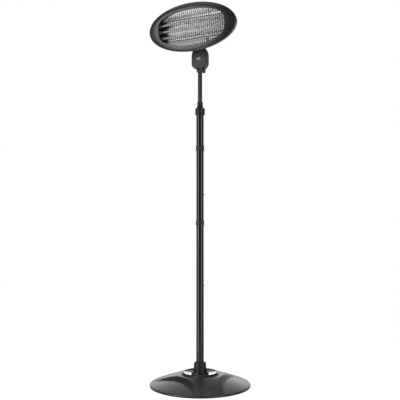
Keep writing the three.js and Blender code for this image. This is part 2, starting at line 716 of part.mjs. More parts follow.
/** Front outline of the neck in X and Z, drawn in by a wall: rounded chin, oval top. */
function neckOutline(wall) {
  const w = NECK_HALF_WIDTH - wall;
  const chin = NECK_CHIN_HALF - wall / 2;
  const low = NECK_Z + wall;
  const corner = [w * 0.85, low + NECK_CHIN_H * 0.22];
  const shape = new THREE.Shape();
  shape.moveTo(-chin, low);
  shape.lineTo(chin, low);
  shape.quadraticCurveTo(...corner, w, NECK_Z + NECK_CHIN_H);
  shape.lineTo(w, NECK_DOME_Z);
  shape.absellipse(0, NECK_DOME_Z, w, NECK_DOME_H - wall, 0, Math.PI);
  shape.lineTo(-w, NECK_Z + NECK_CHIN_H);
  shape.quadraticCurveTo(-corner[0], corner[1], -chin, low);
  return shape;
}

/** An outline in X and Z, extruded from y0 to y1. */
function deepened(shape, y0, y1, options = {}) {
  return raised(shape, -y1, -y0, options).rotate([90, 0, 0]);
}

/** An outline in Y and Z, extruded from x0 to x1. */
function widened(shape, x0, x1, options = {}) {
  return raised(shape, x0, x1, options).rotate([90, 0, 90]);
}

/** Point [y, z] at a height up the head's back, a gap behind it. */
function behindHead(up, gap) {
  const turn = degToRad(HEAD_TILT);
  const back = HOUSING_DEPTH + gap;
  return [
    HEAD_Y - up * Math.sin(turn) + back * Math.cos(turn),
    HEAD_Z + up * Math.cos(turn) + back * Math.sin(turn),
  ];
}

/** Places a piece drawn about Z on the head's back, with +Z pointing out of it. */
function onHeadBack(shape, x, up) {
  const [y, z] = behindHead(up, 0);
  return shape.rotate([HEAD_TILT - 90, 0, 0]).translate([x, y, z]);
}

const tongueRootZ = NECK_DOME_Z + NECK_DOME_H * 0.7;

/** Tongue on the neck's top that follows the tilted back of the head. */
function neckTongue() {
  const profile = outline([
    [NECK_FRONT_Y + NECK_WALL, tongueRootZ], behindHead(PAD_LOW, SEAT_GAP),
    behindHead(PAD_HIGH, SEAT_GAP), behindHead(PAD_HIGH, SEAT_GAP + PAD_T),
    [NECK_BACK_Y - 2 * NECK_WALL, tongueRootZ],
  ]);
  return widened(profile, -PAD_HALF_WIDTH, PAD_HALF_WIDTH);
}

/** Wire duct through the tongue: a slanted bore that meets a mouth in the head's back. */
function wireDuct() {
  const from = [NECK_FRONT_Y + 5 * NECK_WALL, tongueRootZ - NECK_WALL];
  const to = behindHead(DUCT_UP, SEAT_GAP + DUCT_R + 1);
  const [forward, rise] = [from[0] - to[0], to[1] - from[1]];
  const lean = (Math.atan2(forward, rise) * 180) / Math.PI;
  const bore = rod(DUCT_R, 0, Math.hypot(forward, rise)).rotate([lean, 0, 0]);
  const mouth = onHeadBack(rod(DUCT_R, -2, 2 * DUCT_R), 0, DUCT_UP);
  return [bore.translate([0, ...from]), mouth];
}

/** Block below the neck that the slot and the knob's room leave as two ears. */
function neckEars() {
  const top = NECK_Z + NECK_WALL + 2 - PIVOT_Z;
  const ear = new THREE.Shape();
  ear.absarc(0, 0, EAR_R, -Math.PI, 0, false);
  ear.lineTo(NECK_BACK_Y - NECK_EDGE, top);
  ear.lineTo(-NECK_BACK_Y + NECK_EDGE, top);
  const both = widened(ear, -earOuterX, earOuterX + 1, { curveSegments: 8 });
  return both.translate([0, 0, PIVOT_Z]);
}

/** Oval badge seated half its thickness deep in the neck's front, grown by a gap. */
function badgeShape(gap) {
  const shape = new THREE.Shape();
  shape.absellipse(0, 0, BADGE_HALF_X + gap, BADGE_HALF_Z + gap, 0, 2 * Math.PI);
  const [front, back] = [BADGE_T / 2, BADGE_T / 2 + gap];
  const plate = deepened(shape, -front, back, { curveSegments: 12 });
  return plate.translate([0, NECK_FRONT_Y, BADGE_Z]);
}

const slotRoofZ = PIVOT_Z + EYE_R + SLOT_ROOF;
const chinSolidZ = PIVOT_Z + KNOB_R + KNOB_CLEAR + NECK_WALL;
const padScrewHeadR = 1.8 * PAD_SCREW_R;
const coverScrewR = 1.5;
const coverBossR = 4;
const coverScrewX = NECK_HALF_WIDTH - NECK_WALL - coverBossR + 1;
const coverScrewZ = [NECK_Z + NECK_CHIN_H + 6, NECK_DOME_Z + 12];

/** The four places [x, z] of the rear cover's screws. */
function coverScrewPlaces() {
  return coverScrewZ.flatMap((z) => [-coverScrewX, coverScrewX].map((x) => [x, z]));
}

/** A rod along Y between two depths, at a place in X and Z. */
function depthRod(radius, y0, y1, x, z, sides = SMALL_SIDES) {
  return rod(radius, -y1, -y0, sides).rotate([90, 0, 0]).translate([x, 0, z]);
}

/** Moulded neck: a box open at the back, a tongue for the head and two ears for the pivot. */
function neckHousing() {
  const bevel = {
    bevelEnabled: true, bevelSize: NECK_EDGE, bevelThickness: NECK_EDGE, bevelOffset: -NECK_EDGE,
    bevelSegments: 2, curveSegments: 5,
  };
  const blank = deepened(
    neckOutline(0), NECK_FRONT_Y + NECK_EDGE, NECK_BACK_Y + BEYOND, bevel,
  );
  const low = [-NECK_HALF_WIDTH - BEYOND, NECK_BACK_Y, NECK_Z - BEYOND];
  const high = [NECK_HALF_WIDTH + BEYOND, NECK_BACK_Y + 2 * BEYOND, NECK_DOME_Z + 2 * NECK_DOME_H];
  const cavity = deepened(
    neckOutline(NECK_WALL), NECK_FRONT_Y + NECK_WALL, NECK_BACK_Y + 1,
  );
  const floor = block(
    [-NECK_HALF_WIDTH, NECK_FRONT_Y, NECK_Z - 1],
    [NECK_HALF_WIDTH, NECK_BACK_Y + 2, chinSolidZ],
  );
  const bossY = [NECK_FRONT_Y + NECK_WALL - 1, NECK_BACK_Y - 0.5];
  const bosses = coverScrewPlaces().map(([x, z]) => depthRod(coverBossR, ...bossY, x, z, HOLE_SIDES));
  const screwHoles = coverScrewPlaces().map(
    ([x, z]) => depthRod(coverScrewR + SCREW_GAP, NECK_BACK_Y - 13, NECK_BACK_Y + 1, x, z, 6),
  );
  const slot = block(
    [-earX, NECK_FRONT_Y - 5, PIVOT_Z - 2 * EAR_R], [earX, NECK_BACK_Y + 5, slotRoofZ],
  );
  const boltHole = crossRod(BOLT_R + SCREW_GAP, -earOuterX - 2, earOuterX + 2, 0, PIVOT_Z);
  const knobEndX = knobX + KNOB_HUB_T + KNOB_T + 2 * KNOB_CLEAR;
  const knobRoom = crossRod(KNOB_R + KNOB_CLEAR, earOuterX, knobEndX, 0, PIVOT_Z, TUBE_SIDES);
  const padHoles = [-PAD_SCREW_X, PAD_SCREW_X].flatMap((x) => [
    onHeadBack(rod(PAD_SCREW_R + SCREW_GAP, -2, PAD_T + 1), x, PAD_SCREW_UP),
    onHeadBack(rod(padScrewHeadR + SCREW_GAP, SEAT_GAP + PAD_T, PAD_T + 2 * BEYOND), x, PAD_SCREW_UP),
  ]);
  const box = cut(cut(blank, block(low, high)), cut(cavity, floor));
  return cut(
    join(box, neckTongue(), neckEars(), ...bosses),
    slot, knobRoom, boltHole, badgeShape(SEAT_GAP), ...screwHoles, ...padHoles, ...wireDuct(),
  );
}

const coverY = NECK_BACK_Y + SEAT_GAP;
const coverBackY = coverY + REAR_COVER_T;

/** Rear cover of the neck, with a hole for the cable gland. */
function neckRearCover() {
  const edge = 1.5;
  const bevel = {
    bevelEnabled: true, bevelSize: edge, bevelThickness: edge, bevelOffset: -edge, bevelSegments: 1,
  };
  const plate = deepened(neckOutline(0), coverY, coverBackY - edge, bevel);
  const front = block(
    [-NECK_HALF_WIDTH - BEYOND, coverY - BEYOND, NECK_Z - BEYOND],
    [NECK_HALF_WIDTH + BEYOND, coverY, NECK_DOME_Z + NECK_DOME_H + BEYOND],
  );
  const screwHoles = coverScrewPlaces().map(
    ([x, z]) => depthRod(coverScrewR + SCREW_GAP, coverY - 1, coverBackY + 1, x, z, 6),
  );
  const glandHole = depthRod(GLAND_R - 1.5 + SEAT_GAP, coverY - 1, coverBackY + 1, 0, GLAND_Z);
  const pullZ = (switchZ[0] + switchZ[1]) / 2;
  const pullHole = depthRod(PULL_HOLE_R, coverY - 1, coverBackY + 1, 0, pullZ, 10);
  return cut(plate, front, ...screwHoles, glandHole, pullHole);
}

/** Screw through the neck's tongue into the back of the head. */
function neckMountScrew(side) {
  const one = screw(PAD_SCREW_R, PAD_T + 10, padScrewHeadR, 2.6, PAD_T + 2 * SEAT_GAP);
  return onHeadBack(one, side * PAD_SCREW_X, PAD_SCREW_UP);
}

/** Gland in the rear cover, where the supply cable enters. */
function cableGland() {
  const bore = 3.6;
  const neck = GLAND_R - 1.5;
  const inside = coverY - SEAT_GAP - 1.5;
  const profile = [
    [bore, inside], [neck + 0.8, inside], [neck + 0.8, coverY - SEAT_GAP], [neck, coverY - SEAT_GAP],
    [neck, coverBackY + SEAT_GAP], [GLAND_R, coverBackY + SEAT_GAP], [GLAND_R, coverBackY + 3.5],
    [neck, coverBackY + GLAND_LENGTH], [bore, coverBackY + GLAND_LENGTH],
  ];
  return turned(profile, SMALL_SIDES).rotate([-90, 0, 0]).translate([0, 0, GLAND_Z]);
}

const switchZ = [NECK_Z + 37, NECK_Z + 63];
const innerFrontY = NECK_FRONT_Y + NECK_WALL;

/** Two-pole switch block, seated on the inside of the rear cover. */
function selectorSwitch() {
  const body = block([-15, innerFrontY + 6, switchZ[0]], [15, coverY - SEAT_GAP, switchZ[1]]);
  const tab = block([-20, coverY - SEAT_GAP - 2, switchZ[0] + 6], [20, coverY - SEAT_GAP, switchZ[1] - 6]);
  return join(body, tab);
}

/** Three-way ceramic terminal block above the switch. */
function terminalBlock() {
  const z = switchZ[1] + 4;
  const body = block([-21, 2, z], [3, coverY - SEAT_GAP, z + 13]);
  const holes = [-17, -9, -1].map((x) => rod(2, z - 1, z + 14, 10).translate([x, 8, 0]));
  return cut(body, ...holes);
}

/** Tip-over switch: a small case with a ball seat inside. */
function tipOverSwitch() {
  const z = switchZ[1] + 4;
  const body = block([6, 0, z], [24, coverY - SEAT_GAP, z + 20]);
  return cut(body, rod(5, z + 4, z + 21, 16).translate([15, 7.5, 0]));
}

// ---------------------------------------------------------------- head
// Drawn lying on its back: X across, Y up the face, +Z out of the face, the rim at z = 0.

/** Angles round the oval, crowded towards the four corners of the opening. */
function ovalTurns() {
  const half = 180;
  const corners = [-CORNER_TURN, CORNER_TURN, half - CORNER_TURN, half + CORNER_TURN];
  const turns = [];
  corners.forEach((start, i) => {
    const end = i < 3 ? corners[i + 1] : corners[0] + 2 * half;
    const steps = i % 2 === 0 ? END_STEPS : LONG_STEPS;
    for (let step = 0; step < steps; step += 1) {
      const share = step / steps;
      const eased = lerp(share, (1 - Math.cos(Math.PI * share)) / 2, 0.6);
      turns.push(degToRad(lerp(start, end, eased)));
    }
  });
  return turns;
}

const openingA = RIM_A - BEZEL_END;
const openingB = RIM_B - BEZEL_SIDE;
const openingHalfX = RIM_A - OPENING_CUT;

/** Distance to the opening's edge: an oval whose two ends are cut off square. */
function openingReach(turn) {
  const oval = 1 / Math.hypot(Math.cos(turn) / openingA, Math.sin(turn) / openingB);
  const end = openingHalfX / Math.max(Math.abs(Math.cos(turn)), 1e-6);
  const p = OPENING_SHARPNESS;
  return (oval ** -p + end ** -p) ** (-1 / p);
}

/** Point [x, y] between the opening's edge (share 0) and the oval rim (share 1). */
function facePoint(share, t) {
  const rim = [RIM_A * Math.cos(t), RIM_B * Math.sin(t)];
  const turn = Math.atan2(rim[1], rim[0]);
  const reach = openingReach(turn);
  return [
    lerp(reach * Math.cos(turn), rim[0], share), lerp(reach * Math.sin(turn), rim[1], share),
  ];
}

/** A section of the face, moved outwards square to its own line. */
function faceSection(share, outset, z) {
  return (t) => {
    const [x, y] = facePoint(share, t);
    const [ahead, behind] = [facePoint(share, t + 0.002), facePoint(share, t - 0.002)];
    const [dx, dy] = [ahead[0] - behind[0], ahead[1] - behind[1]];
    const length = Math.hypot(dx, dy);
    return [x + (outset * dy) / length, y - (outset * dx) / length, z];
  };
}

/** A plain oval section. */
function ovalSection(a, b, z) {
  return (t) => [a * Math.cos(t), b * Math.sin(t), z];
}

const faceTurns = ovalTurns();

/** Front bezel: a domed frame with a skirt outside and a lip round the opening. */
function frontBezel() {
  const wall = BEZEL_WALL;
  const crest = BEZEL_CREST;
  return lofted([
    faceSection(1, 0, -RIM_SKIRT), faceSection(1, 0, -2.5), faceSection(1, -1.2, 0),
    faceSection(0.7, 0, crest * 0.45), faceSection(0.35, 0, crest * 0.82),
    faceSection(0, 1.6, crest), faceSection(0, 0, crest - 1.6),
    faceSection(0, 0, -LIP_DEPTH), faceSection(0, wall, -LIP_DEPTH),
    faceSection(0, wall, crest - 2 * wall), faceSection(0.35, 0, crest * 0.82 - wall),
    faceSection(1, -wall, -wall - 1), faceSection(1, -wall, -RIM_SKIRT),
  ], faceTurns);
}

const seamZ = -RIM_SKIRT - SEAT_GAP;
const spigotZ = -BEZEL_WALL - 3;
const backInnerZ = -HOUSING_DEPTH + HOUSING_WALL;
const backA = RIM_A - BACK_END;
const backB = RIM_B - BACK_SIDE;
const bracketX = backA - BRACKET_INSET;
const bracketTopZ = -REFLECTOR_FLOOR - REFLECTOR_T - SEAT_GAP;
const bracketPegX = bracketX - 13;
const bracketPegY = ELEMENT_PITCH / 2;
const grommetR = DUCT_R;

/** Rear pan of the head, with vents, bosses and a spigot that fits inside the bezel. */
function rearHousing() {
  const [a, b, wall] = [backA, backB, HOUSING_WALL];
  const spigotIn = BEZEL_WALL + SEAT_GAP;
  const flare = [[0, 2], [12, 8.5], [22, 18.5], [28, 30]];
  const inside = [flare[3], flare[2], flare[0]];
  const flared = ([out, rise], inset) =>
    ovalSection(a + out - inset, b + out - inset, rise - HOUSING_DEPTH + inset * 0.4);
  const pan = lofted([
    ovalSection(0, 0, -HOUSING_DEPTH), ovalSection(a - 8, b - 8, -HOUSING_DEPTH),
    ...flare.map((point) => flared(point, 0)),
    faceSection(1, -2, seamZ - 8), faceSection(1, -0.6, seamZ), faceSection(1, -spigotIn, seamZ),
    faceSection(1, -spigotIn, spigotZ), faceSection(1, -spigotIn - wall, spigotZ),
    faceSection(1, -spigotIn - wall, seamZ - 8), ...inside.map((point) => flared(point, wall)),
    ovalSection(a - 8 - wall, b - 8 - wall, backInnerZ), ovalSection(0, 0, backInnerZ),
  ], faceTurns, false);
  const added = [];
  const holes = [
    rod(grommetR + SEAT_GAP, -HOUSING_DEPTH - 1, backInnerZ + 1).translate([0, DUCT_UP, 0]),
  ];
  for (const side of [-1, 1]) {
    const x = side * PAD_SCREW_X;
    const bossTop = -HOUSING_DEPTH + 12;
    const bore = rod(PAD_SCREW_R + SCREW_GAP, -HOUSING_DEPTH - 1, bossTop + 1, HOLE_SIDES);
    added.push(rod(BOSS_R, backInnerZ - 1, bossTop, HOLE_SIDES).translate([x, PAD_SCREW_UP, 0]));
    holes.push(bore.translate([x, PAD_SCREW_UP, 0]));
    for (const y of [-bracketPegY, bracketPegY]) {
      const boss = rod(BOSS_R, backInnerZ - 1, bracketTopZ - BRACKET_T - SEAT_GAP, HOLE_SIDES);
      const peg = rod(PEG_R, backInnerZ, bracketTopZ + 1, HOLE_SIDES);
      added.push(join(boss, peg).translate([side * bracketPegX, y, 0]));
    }
    for (let i = 0; i < VENT_COUNT; i += 1) {
      const offset = (i - (VENT_COUNT - 1) / 2) * VENT_PITCH;
      holes.push(ventSlot().translate([side * (backA - VENT_INSET) + offset, 0, 0]));
    }
  }
  return cut(join(pan, ...added), ...holes);
}

/** Tool for one upright vent slot with round ends. */
function ventSlot() {
  const r = VENT_WIDTH / 2;
  const half = VENT_LENGTH / 2 - r;
  const slot = new THREE.Shape();
  slot.absarc(0, half, r, 0, Math.PI, false);
  slot.absarc(0, -half, r, Math.PI, 2 * Math.PI, false);
  return raised(slot, -HOUSING_DEPTH - 1, backInnerZ + 1, { curveSegments: 2 });
}

/** Rubber grommet where the wires pass from the neck into the head. */
function wireGrommet() {
  const flangeR = grommetR + 1.6;
  return turned([
    [2, -HOUSING_DEPTH], [grommetR, -HOUSING_DEPTH], [grommetR, backInnerZ + SEAT_GAP],
    [flangeR, backInnerZ + SEAT_GAP], [flangeR, backInnerZ + 2], [2, backInnerZ + 2],
  ], SMALL_SIDES).translate([0, DUCT_UP, 0]);
}

// ---------------------------------------------------------------- wire guard

const frameZ = -LIP_DEPTH - SEAT_GAP - FRAME_R;
const wireZ = frameZ - FRAME_R - WIRE_R + WELD_BITE;
const crossZ = wireZ - 2 * WIRE_R + WELD_BITE;
const wireCount = 2 * Math.floor(openingHalfX / WIRE_PITCH);

/** Half the height of the guard's frame at a distance from its middle. */
function frameHalfHeight(x) {
  const frame = faceSection(0, FRAME_OUTSET, frameZ);
  let [low, high] = [0, Math.PI / 2];
  for (let i = 0; i < 40; i += 1) {
    const middle = (low + high) / 2;
    if (frame(middle)[0] > Math.abs(x)) low = middle;
    else high = middle;
  }
  return frame(low)[1];
}

/** Welded guard: a round frame behind the lip, upright wires and two cross rods. */
function wireGuard() {
  const sections = [];
  for (let i = 0; i < WIRE_SIDES; i += 1) {
    const turn = (2 * Math.PI * i) / WIRE_SIDES;
    const outset = FRAME_OUTSET + FRAME_R * Math.cos(turn);
    sections.push(faceSection(0, outset, frameZ + FRAME_R * Math.sin(turn)));
  }
  let guard = lofted(sections, faceTurns);
  for (let i = 0; i < wireCount; i += 1) {
    const x = (i - (wireCount - 1) / 2) * WIRE_PITCH;
    const half = frameHalfHeight(x);
    const wire = rod(WIRE_R, -half, half, WIRE_SIDES).rotate([90, 0, 0]).translate([x, 0, wireZ]);
    guard = guard.add(wire);
  }
  const reach = ((wireCount - 1) / 2) * WIRE_PITCH + 2;
  for (const side of [-1, 1]) {
    const y = side * CROSS_ROD_SHARE * openingB;
    guard = guard.add(crossRod(WIRE_R, -reach, reach, y, crossZ, WIRE_SIDES));
  }
  return guard;
}

const tabZ = wireZ + WIRE_R + SEAT_GAP;
const tabPlace = [GUARD_TAB_PLACE * WIRE_PITCH, GUARD_TAB_INSET - openingB, 0];

/** Round tab that holds the guard down between two wires. */
function guardTab() {
  const disc = turned([
    [1.8, tabZ], [GUARD_TAB_R, tabZ], [GUARD_TAB_R, tabZ + GUARD_TAB_T - 0.5],
    [GUARD_TAB_R - 0.6, tabZ + GUARD_TAB_T], [1.8, tabZ + GUARD_TAB_T],
  ], 16);
  return disc.translate(tabPlace);
}

function guardScrew() {
  const one = screw(1.5, 22, 3.4, 2.2, tabZ + GUARD_TAB_T + SEAT_GAP);
  return one.translate(tabPlace);
}

// ---------------------------------------------------------------- reflector and elements

const elementY = [ELEMENT_PITCH, 0, -ELEMENT_PITCH];
const elementZ = -ELEMENT_DEPTH;
const quartzHalf = bracketX - QUARTZ_END_GAP;
const capStart = quartzHalf - CAP_GRIP;
const capEnd = bracketX - SEAT_GAP;
const reflectorHalfX = bracketX - REFLECTOR_END;
const bracketHalfY = ELEMENT_PITCH + BRACKET_SIDE;

/** Height of the reflector's face: a trough behind each tube, flared sides outside them. */
function reflectorHeight(y) {
  const away = Math.abs(y);
  const half = ELEMENT_PITCH / 2;
  const troughEdge = ELEMENT_PITCH + half;
  if (away <= troughEdge) {
    const nearest = Math.min(...elementY.map((centre) => Math.abs(y - centre)));
    return -REFLECTOR_FLOOR + REFLECTOR_CUSP * (nearest / half) ** 2;
  }
  const share = (away - troughEdge) / (openingB - troughEdge);
  return lerp(-REFLECTOR_FLOOR + REFLECTOR_CUSP, -REFLECTOR_RIM, share ** 0.8);
}

/** Bright sheet with three troughs, trimmed to the head's oval. */
function reflector() {
  const face = [];
  const step = ELEMENT_PITCH / 6;
  const count = Math.round((2 * openingB) / step);
  for (let i = 0; i <= count; i += 1) {
    const y = lerp(-openingB, openingB, i / count);
    face.push([y, reflectorHeight(y)]);
  }
  const back = face.map(([y, z]) => [y, z - REFLECTOR_T]).reverse();
  const sheet = widened(outline([...face, ...back]), -reflectorHalfX, reflectorHalfX);
  const trim = new THREE.Shape();
  trim.absellipse(0, 0, RIM_A - REFLECTOR_INSET, RIM_B - REFLECTOR_INSET, 0, 2 * Math.PI);
  const oval = raised(trim, -HOUSING_DEPTH, 0, { curveSegments: 24 });
  const screwHole = rod(1.5 + 2 * SCREW_GAP, -40, -10, 10).translate(tabPlace);
  return cut(sheet.intersect(oval), screwHole);
}

/** Pressed bracket at one end: an upright for the three tubes on a foot. */
function tubeBracket(side) {
  const [low, outerX] = [bracketTopZ - BRACKET_T, bracketX + BRACKET_T];
  const upright = block([bracketX, -bracketHalfY, low], [outerX, bracketHalfY, -BRACKET_TOP]);
  const foot = block(
    [outerX - BRACKET_FOOT, -bracketHalfY, low], [outerX - 0.5, bracketHalfY, bracketTopZ],
  );
  const tubeHoles = elementY.map(
    (y) => crossRod(CAP_NECK_R + SEAT_GAP, bracketX - 1, outerX + 1, y, elementZ, SMALL_SIDES),
  );
  const pegHoles = [-bracketPegY, bracketPegY].map(
    (y) => rod(PEG_R + SEAT_GAP, low - 1, bracketTopZ + 1, HOLE_SIDES).translate([bracketPegX, y, 0]),
  );
  const bracket = cut(join(upright, foot), ...tubeHoles, ...pegHoles);
  return side > 0 ? bracket : bracket.rotate([0, 0, 180]);
}

/** Frosted quartz tube along X. */
function quartzTube(y) {
  const tube = barrel(QUARTZ_R, QUARTZ_R - QUARTZ_WALL, -quartzHalf, quartzHalf, SMALL_SIDES);
  return tube.rotate([0, 90, 0]).translate([0, y, elementZ]);
}

/** Winding inside a quartz tube, as a plain core. */
function heatingCore(y) {
  const coreR = QUARTZ_R - QUARTZ_WALL - SEAT_GAP;
  return crossRod(coreR, -quartzHalf + 4, quartzHalf - 4, y, elementZ, HOLE_SIDES);
}

/** Ceramic cap over one end of a tube, its neck in the bracket. */
function ceramicCap(side, y) {
  const bore = QUARTZ_R + SEAT_GAP;
  const cap = turned([
    [bore, capStart], [CAP_R, capStart], [CAP_R, capEnd], [CAP_NECK_R, capEnd],
    [CAP_NECK_R, bracketX + BRACKET_T + 3], [1.2, bracketX + BRACKET_T + 3],
    [1.2, quartzHalf + SEAT_GAP], [bore, quartzHalf + SEAT_GAP],
  ], SMALL_SIDES);
  return cap.rotate([0, side * 90, 0]).translate([0, y, elementZ]);
}

// ---------------------------------------------------------------- assembly

const heater = new THREE.Group();

/** Adds one piece under its name and finish. */
function place(parent, name, shape, material) {
  const mesh = new THREE.Mesh(geometryOf(shape), material());
  mesh.name = name;
  parent.add(mesh);
}

const stand = new THREE.Group();
place(stand, 'base_cover', baseCover(), gunmetalPaint);
place(stand, 'base_ballast', baseBallast(), castIron);
place(stand, 'base_floor_plate', baseFloorPlate(), satinBlackPaint);
place(stand, 'foot_ring', footRing(), darkRubber);
place(stand, 'centre_plate', centrePlate(), polishedSteel);
place(stand, 'pole_socket', poleSocket(), blackPlastic);
socketScrews().forEach((one, i) => place(stand, `socket_screw_${i + 1}`, one, zincSteel));
place(stand, 'tie_bolt', tieBolt(), zincSteel);
place(stand, 'tube_plug', tubePlug(), zincSteel);
place(stand, 'lower_tube', poleTube(tubeFootZ, SEAM_1_Z, [SEAM_1_Z]), glossBlackPaint);
place(stand, 'middle_tube', poleTube(SEAM_1_Z + SEAT_GAP, seam2Z, [seam2Z]), glossBlackPaint);
place(stand, 'upper_tube', poleTube(seam2Z + SEAT_GAP, TUBE_TOP_Z, []), glossBlackPaint);
place(stand, 'tube_joiner_lower', tubeJoiner(SEAM_1_Z), zincSteel);
place(stand, 'tube_joiner_upper', tubeJoiner(seam2Z), zincSteel);
place(stand, 'joiner_screw_lower', joinerScrew(SEAM_1_Z), zincSteel);
place(stand, 'joiner_screw_upper', joinerScrew(seam2Z), zincSteel);
place(stand, 'cable_clip_lower', cableClip(CLIP_Z[0]), blackPlastic);
place(stand, 'cable_clip_upper', cableClip(CLIP_Z[1]), blackPlastic);
place(stand, 'mast_ferrule', mastFerrule(), zincSteel);
place(stand, 'lock_nut', lockNut(), blackPlastic);
place(stand, 'clamp_collet', clampCollet(), blackPlastic);

const mast = new THREE.Group();
place(mast, 'mast_rod', mastRod(), satinBlackPaint);
place(mast, 'rod_guide_bush', rodGuideBush(), blackPlastic);
place(mast, 'rod_knuckle', rodKnuckle(), satinBlackPaint);
place(mast, 'tilt_bolt', tiltBolt(), zincSteel);
place(mast, 'friction_washer_left', frictionWasher(-1), darkRubber);
place(mast, 'friction_washer_right', frictionWasher(1), darkRubber);
place(mast, 'tilt_knob', tiltKnob(), blackPlastic);

const neck = new THREE.Group();
place(neck, 'neck_housing', neckHousing(), texturedPlastic);
place(neck, 'neck_rear_cover', neckRearCover(), texturedPlastic);
place(neck, 'neck_mount_screw_left', neckMountScrew(-1), zincSteel);
place(neck, 'neck_mount_screw_right', neckMountScrew(1), zincSteel);
place(neck, 'badge_plate', badgeShape(0), polishedSteel);
place(neck, 'cable_gland', cableGland(), blackPlastic);
place(neck, 'selector_switch', selectorSwitch(), greyPlastic);
place(neck, 'terminal_block', terminalBlock(), whiteCeramic);
place(neck, 'tip_over_switch', tipOverSwitch(), blackPlastic);

const head = new THREE.Group();
head.position.set(0, HEAD_Y, HEAD_Z);
head.rotation.x = degToRad(90 + HEAD_TILT);
place(head, 'front_bezel', frontBezel(), gunmetalPaint);
place(head, 'rear_housing', rearHousing(), gunmetalPaint);
place(head, 'wire_grommet', wireGrommet(), darkRubber);
place(head, 'wire_guard', wireGuard(), wireSteel);
place(head, 'guard_tab', guardTab(), satinBlackPaint);
place(head, 'guard_screw', guardScrew(), zincSteel);
place(head, 'reflector', reflector(), polishedAluminium);
place(head, 'tube_bracket_left', tubeBracket(-1), satinBlackPaint);
place(head, 'tube_bracket_right', tubeBracket(1), satinBlackPaint);
['top', 'middle', 'bottom'].forEach((level, i) => {
  place(head, `quartz_tube_${level}`, quartzTube(elementY[i]), frostedQuartz);
  place(head, `heating_core_${level}`, heatingCore(elementY[i]), zincSteel);
  place(head, `ceramic_cap_left_${level}`, ceramicCap(-1, elementY[i]), whiteCeramic);
  place(head, `ceramic_cap_right_${level}`, ceramicCap(1, elementY[i]), whiteCeramic);
});

heater.add(stand, mast, neck, head);

export default heater;
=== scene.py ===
"""Looks of the infrared patio heater tower: fine meshes, finishes and the studio.

Sizes are in millimetres and become metres when a mesh is made. The heater faces -Y, +Z is up, and
the origin lies on the floor on the pole's axis. Each class below is one sub-assembly, from the
floor up.
"""

from __future__ import annotations

import logging
import math
from dataclasses import dataclass
from enum import Enum
from typing import ClassVar, Sequence

import bpy
import numpy as np
from mathutils import Matrix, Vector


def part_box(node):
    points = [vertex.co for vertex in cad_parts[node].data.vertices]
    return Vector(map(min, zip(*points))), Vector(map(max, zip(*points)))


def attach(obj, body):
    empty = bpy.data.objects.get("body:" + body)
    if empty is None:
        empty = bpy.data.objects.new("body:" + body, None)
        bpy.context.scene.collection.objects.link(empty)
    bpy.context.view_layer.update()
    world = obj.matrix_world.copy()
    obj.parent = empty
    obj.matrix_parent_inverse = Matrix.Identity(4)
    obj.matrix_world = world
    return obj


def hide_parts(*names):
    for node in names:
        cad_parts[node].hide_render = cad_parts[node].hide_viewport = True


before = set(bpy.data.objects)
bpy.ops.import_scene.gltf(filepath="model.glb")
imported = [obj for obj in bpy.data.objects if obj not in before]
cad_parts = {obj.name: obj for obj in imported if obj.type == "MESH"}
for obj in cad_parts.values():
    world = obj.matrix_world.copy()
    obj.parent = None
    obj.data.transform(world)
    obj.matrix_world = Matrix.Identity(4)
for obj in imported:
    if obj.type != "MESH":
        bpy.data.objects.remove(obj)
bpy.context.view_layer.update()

log = logging.getLogger("patio_heater")

MM = 0.001  # metres in a millimetre
SEAT_GAP = 0.3  # between two pieces that rest on each other
FULL_TURN = 2 * math.pi
FAR = 60.0  # past the edge of anything that a cut goes through
LINE_STRETCH = 0.02  # scale along Z that stretches a drawn sheet's grain to lines
EDGE_SHARPNESS = (0.52, 0.62)  # pointiness where an edge's rubbed wear and painted highlight start, and where they are full
DRIFT_RANGE = (0.25, 0.75)  # the part of the noise's range that its patches really reach


# ------------------------------------------------------------------ finishes


def linear(hex_colour: str) -> tuple[float, float, float, float]:
    """Turns an sRGB hex colour into the linear colour that a shader takes.

    Args:
        hex_colour: Six hex digits after a hash.

    Returns:
        Red, green, blue and alpha.
    """
    shares = [int(hex_colour[i : i + 2], 16) / 255 for i in (1, 3, 5)]
    return (*[s / 12.92 if s <= 0.04045 else ((s + 0.055) / 1.055) ** 2.4 for s in shares], 1.0)


def wired(tree: bpy.types.NodeTree, kind: str, inputs: dict | None = None) -> bpy.types.Node:
    """Adds a node with its settings and links.

    Args:
        tree: The node tree that the node goes into.
        kind: The node's type name.
        inputs: What each property, or input by name or number, gets: a value, a socket to link it
            to, or a node whose first output it is linked to.

    Returns:
        The new node.
    """
    node = tree.nodes.new(kind)
    for key, value in (inputs or {}).items():
        source = value.outputs[0] if isinstance(value, bpy.types.Node) else value
        if isinstance(source, bpy.types.NodeSocket):
            tree.links.new(source, node.inputs[key])
        elif isinstance(key, str) and hasattr(node, key):
            setattr(node, key, source)
        else:
            node.inputs[key].default_value = source
    return node


class Pattern(Enum):
    """How a surface was made, which gives its relief."""

    SPRAYED = "sprayed"
    ERODED = "eroded"
    DRAWN = "drawn"
    TURNED = "turned"
    CAST = "cast"
    FIRED = "fired"


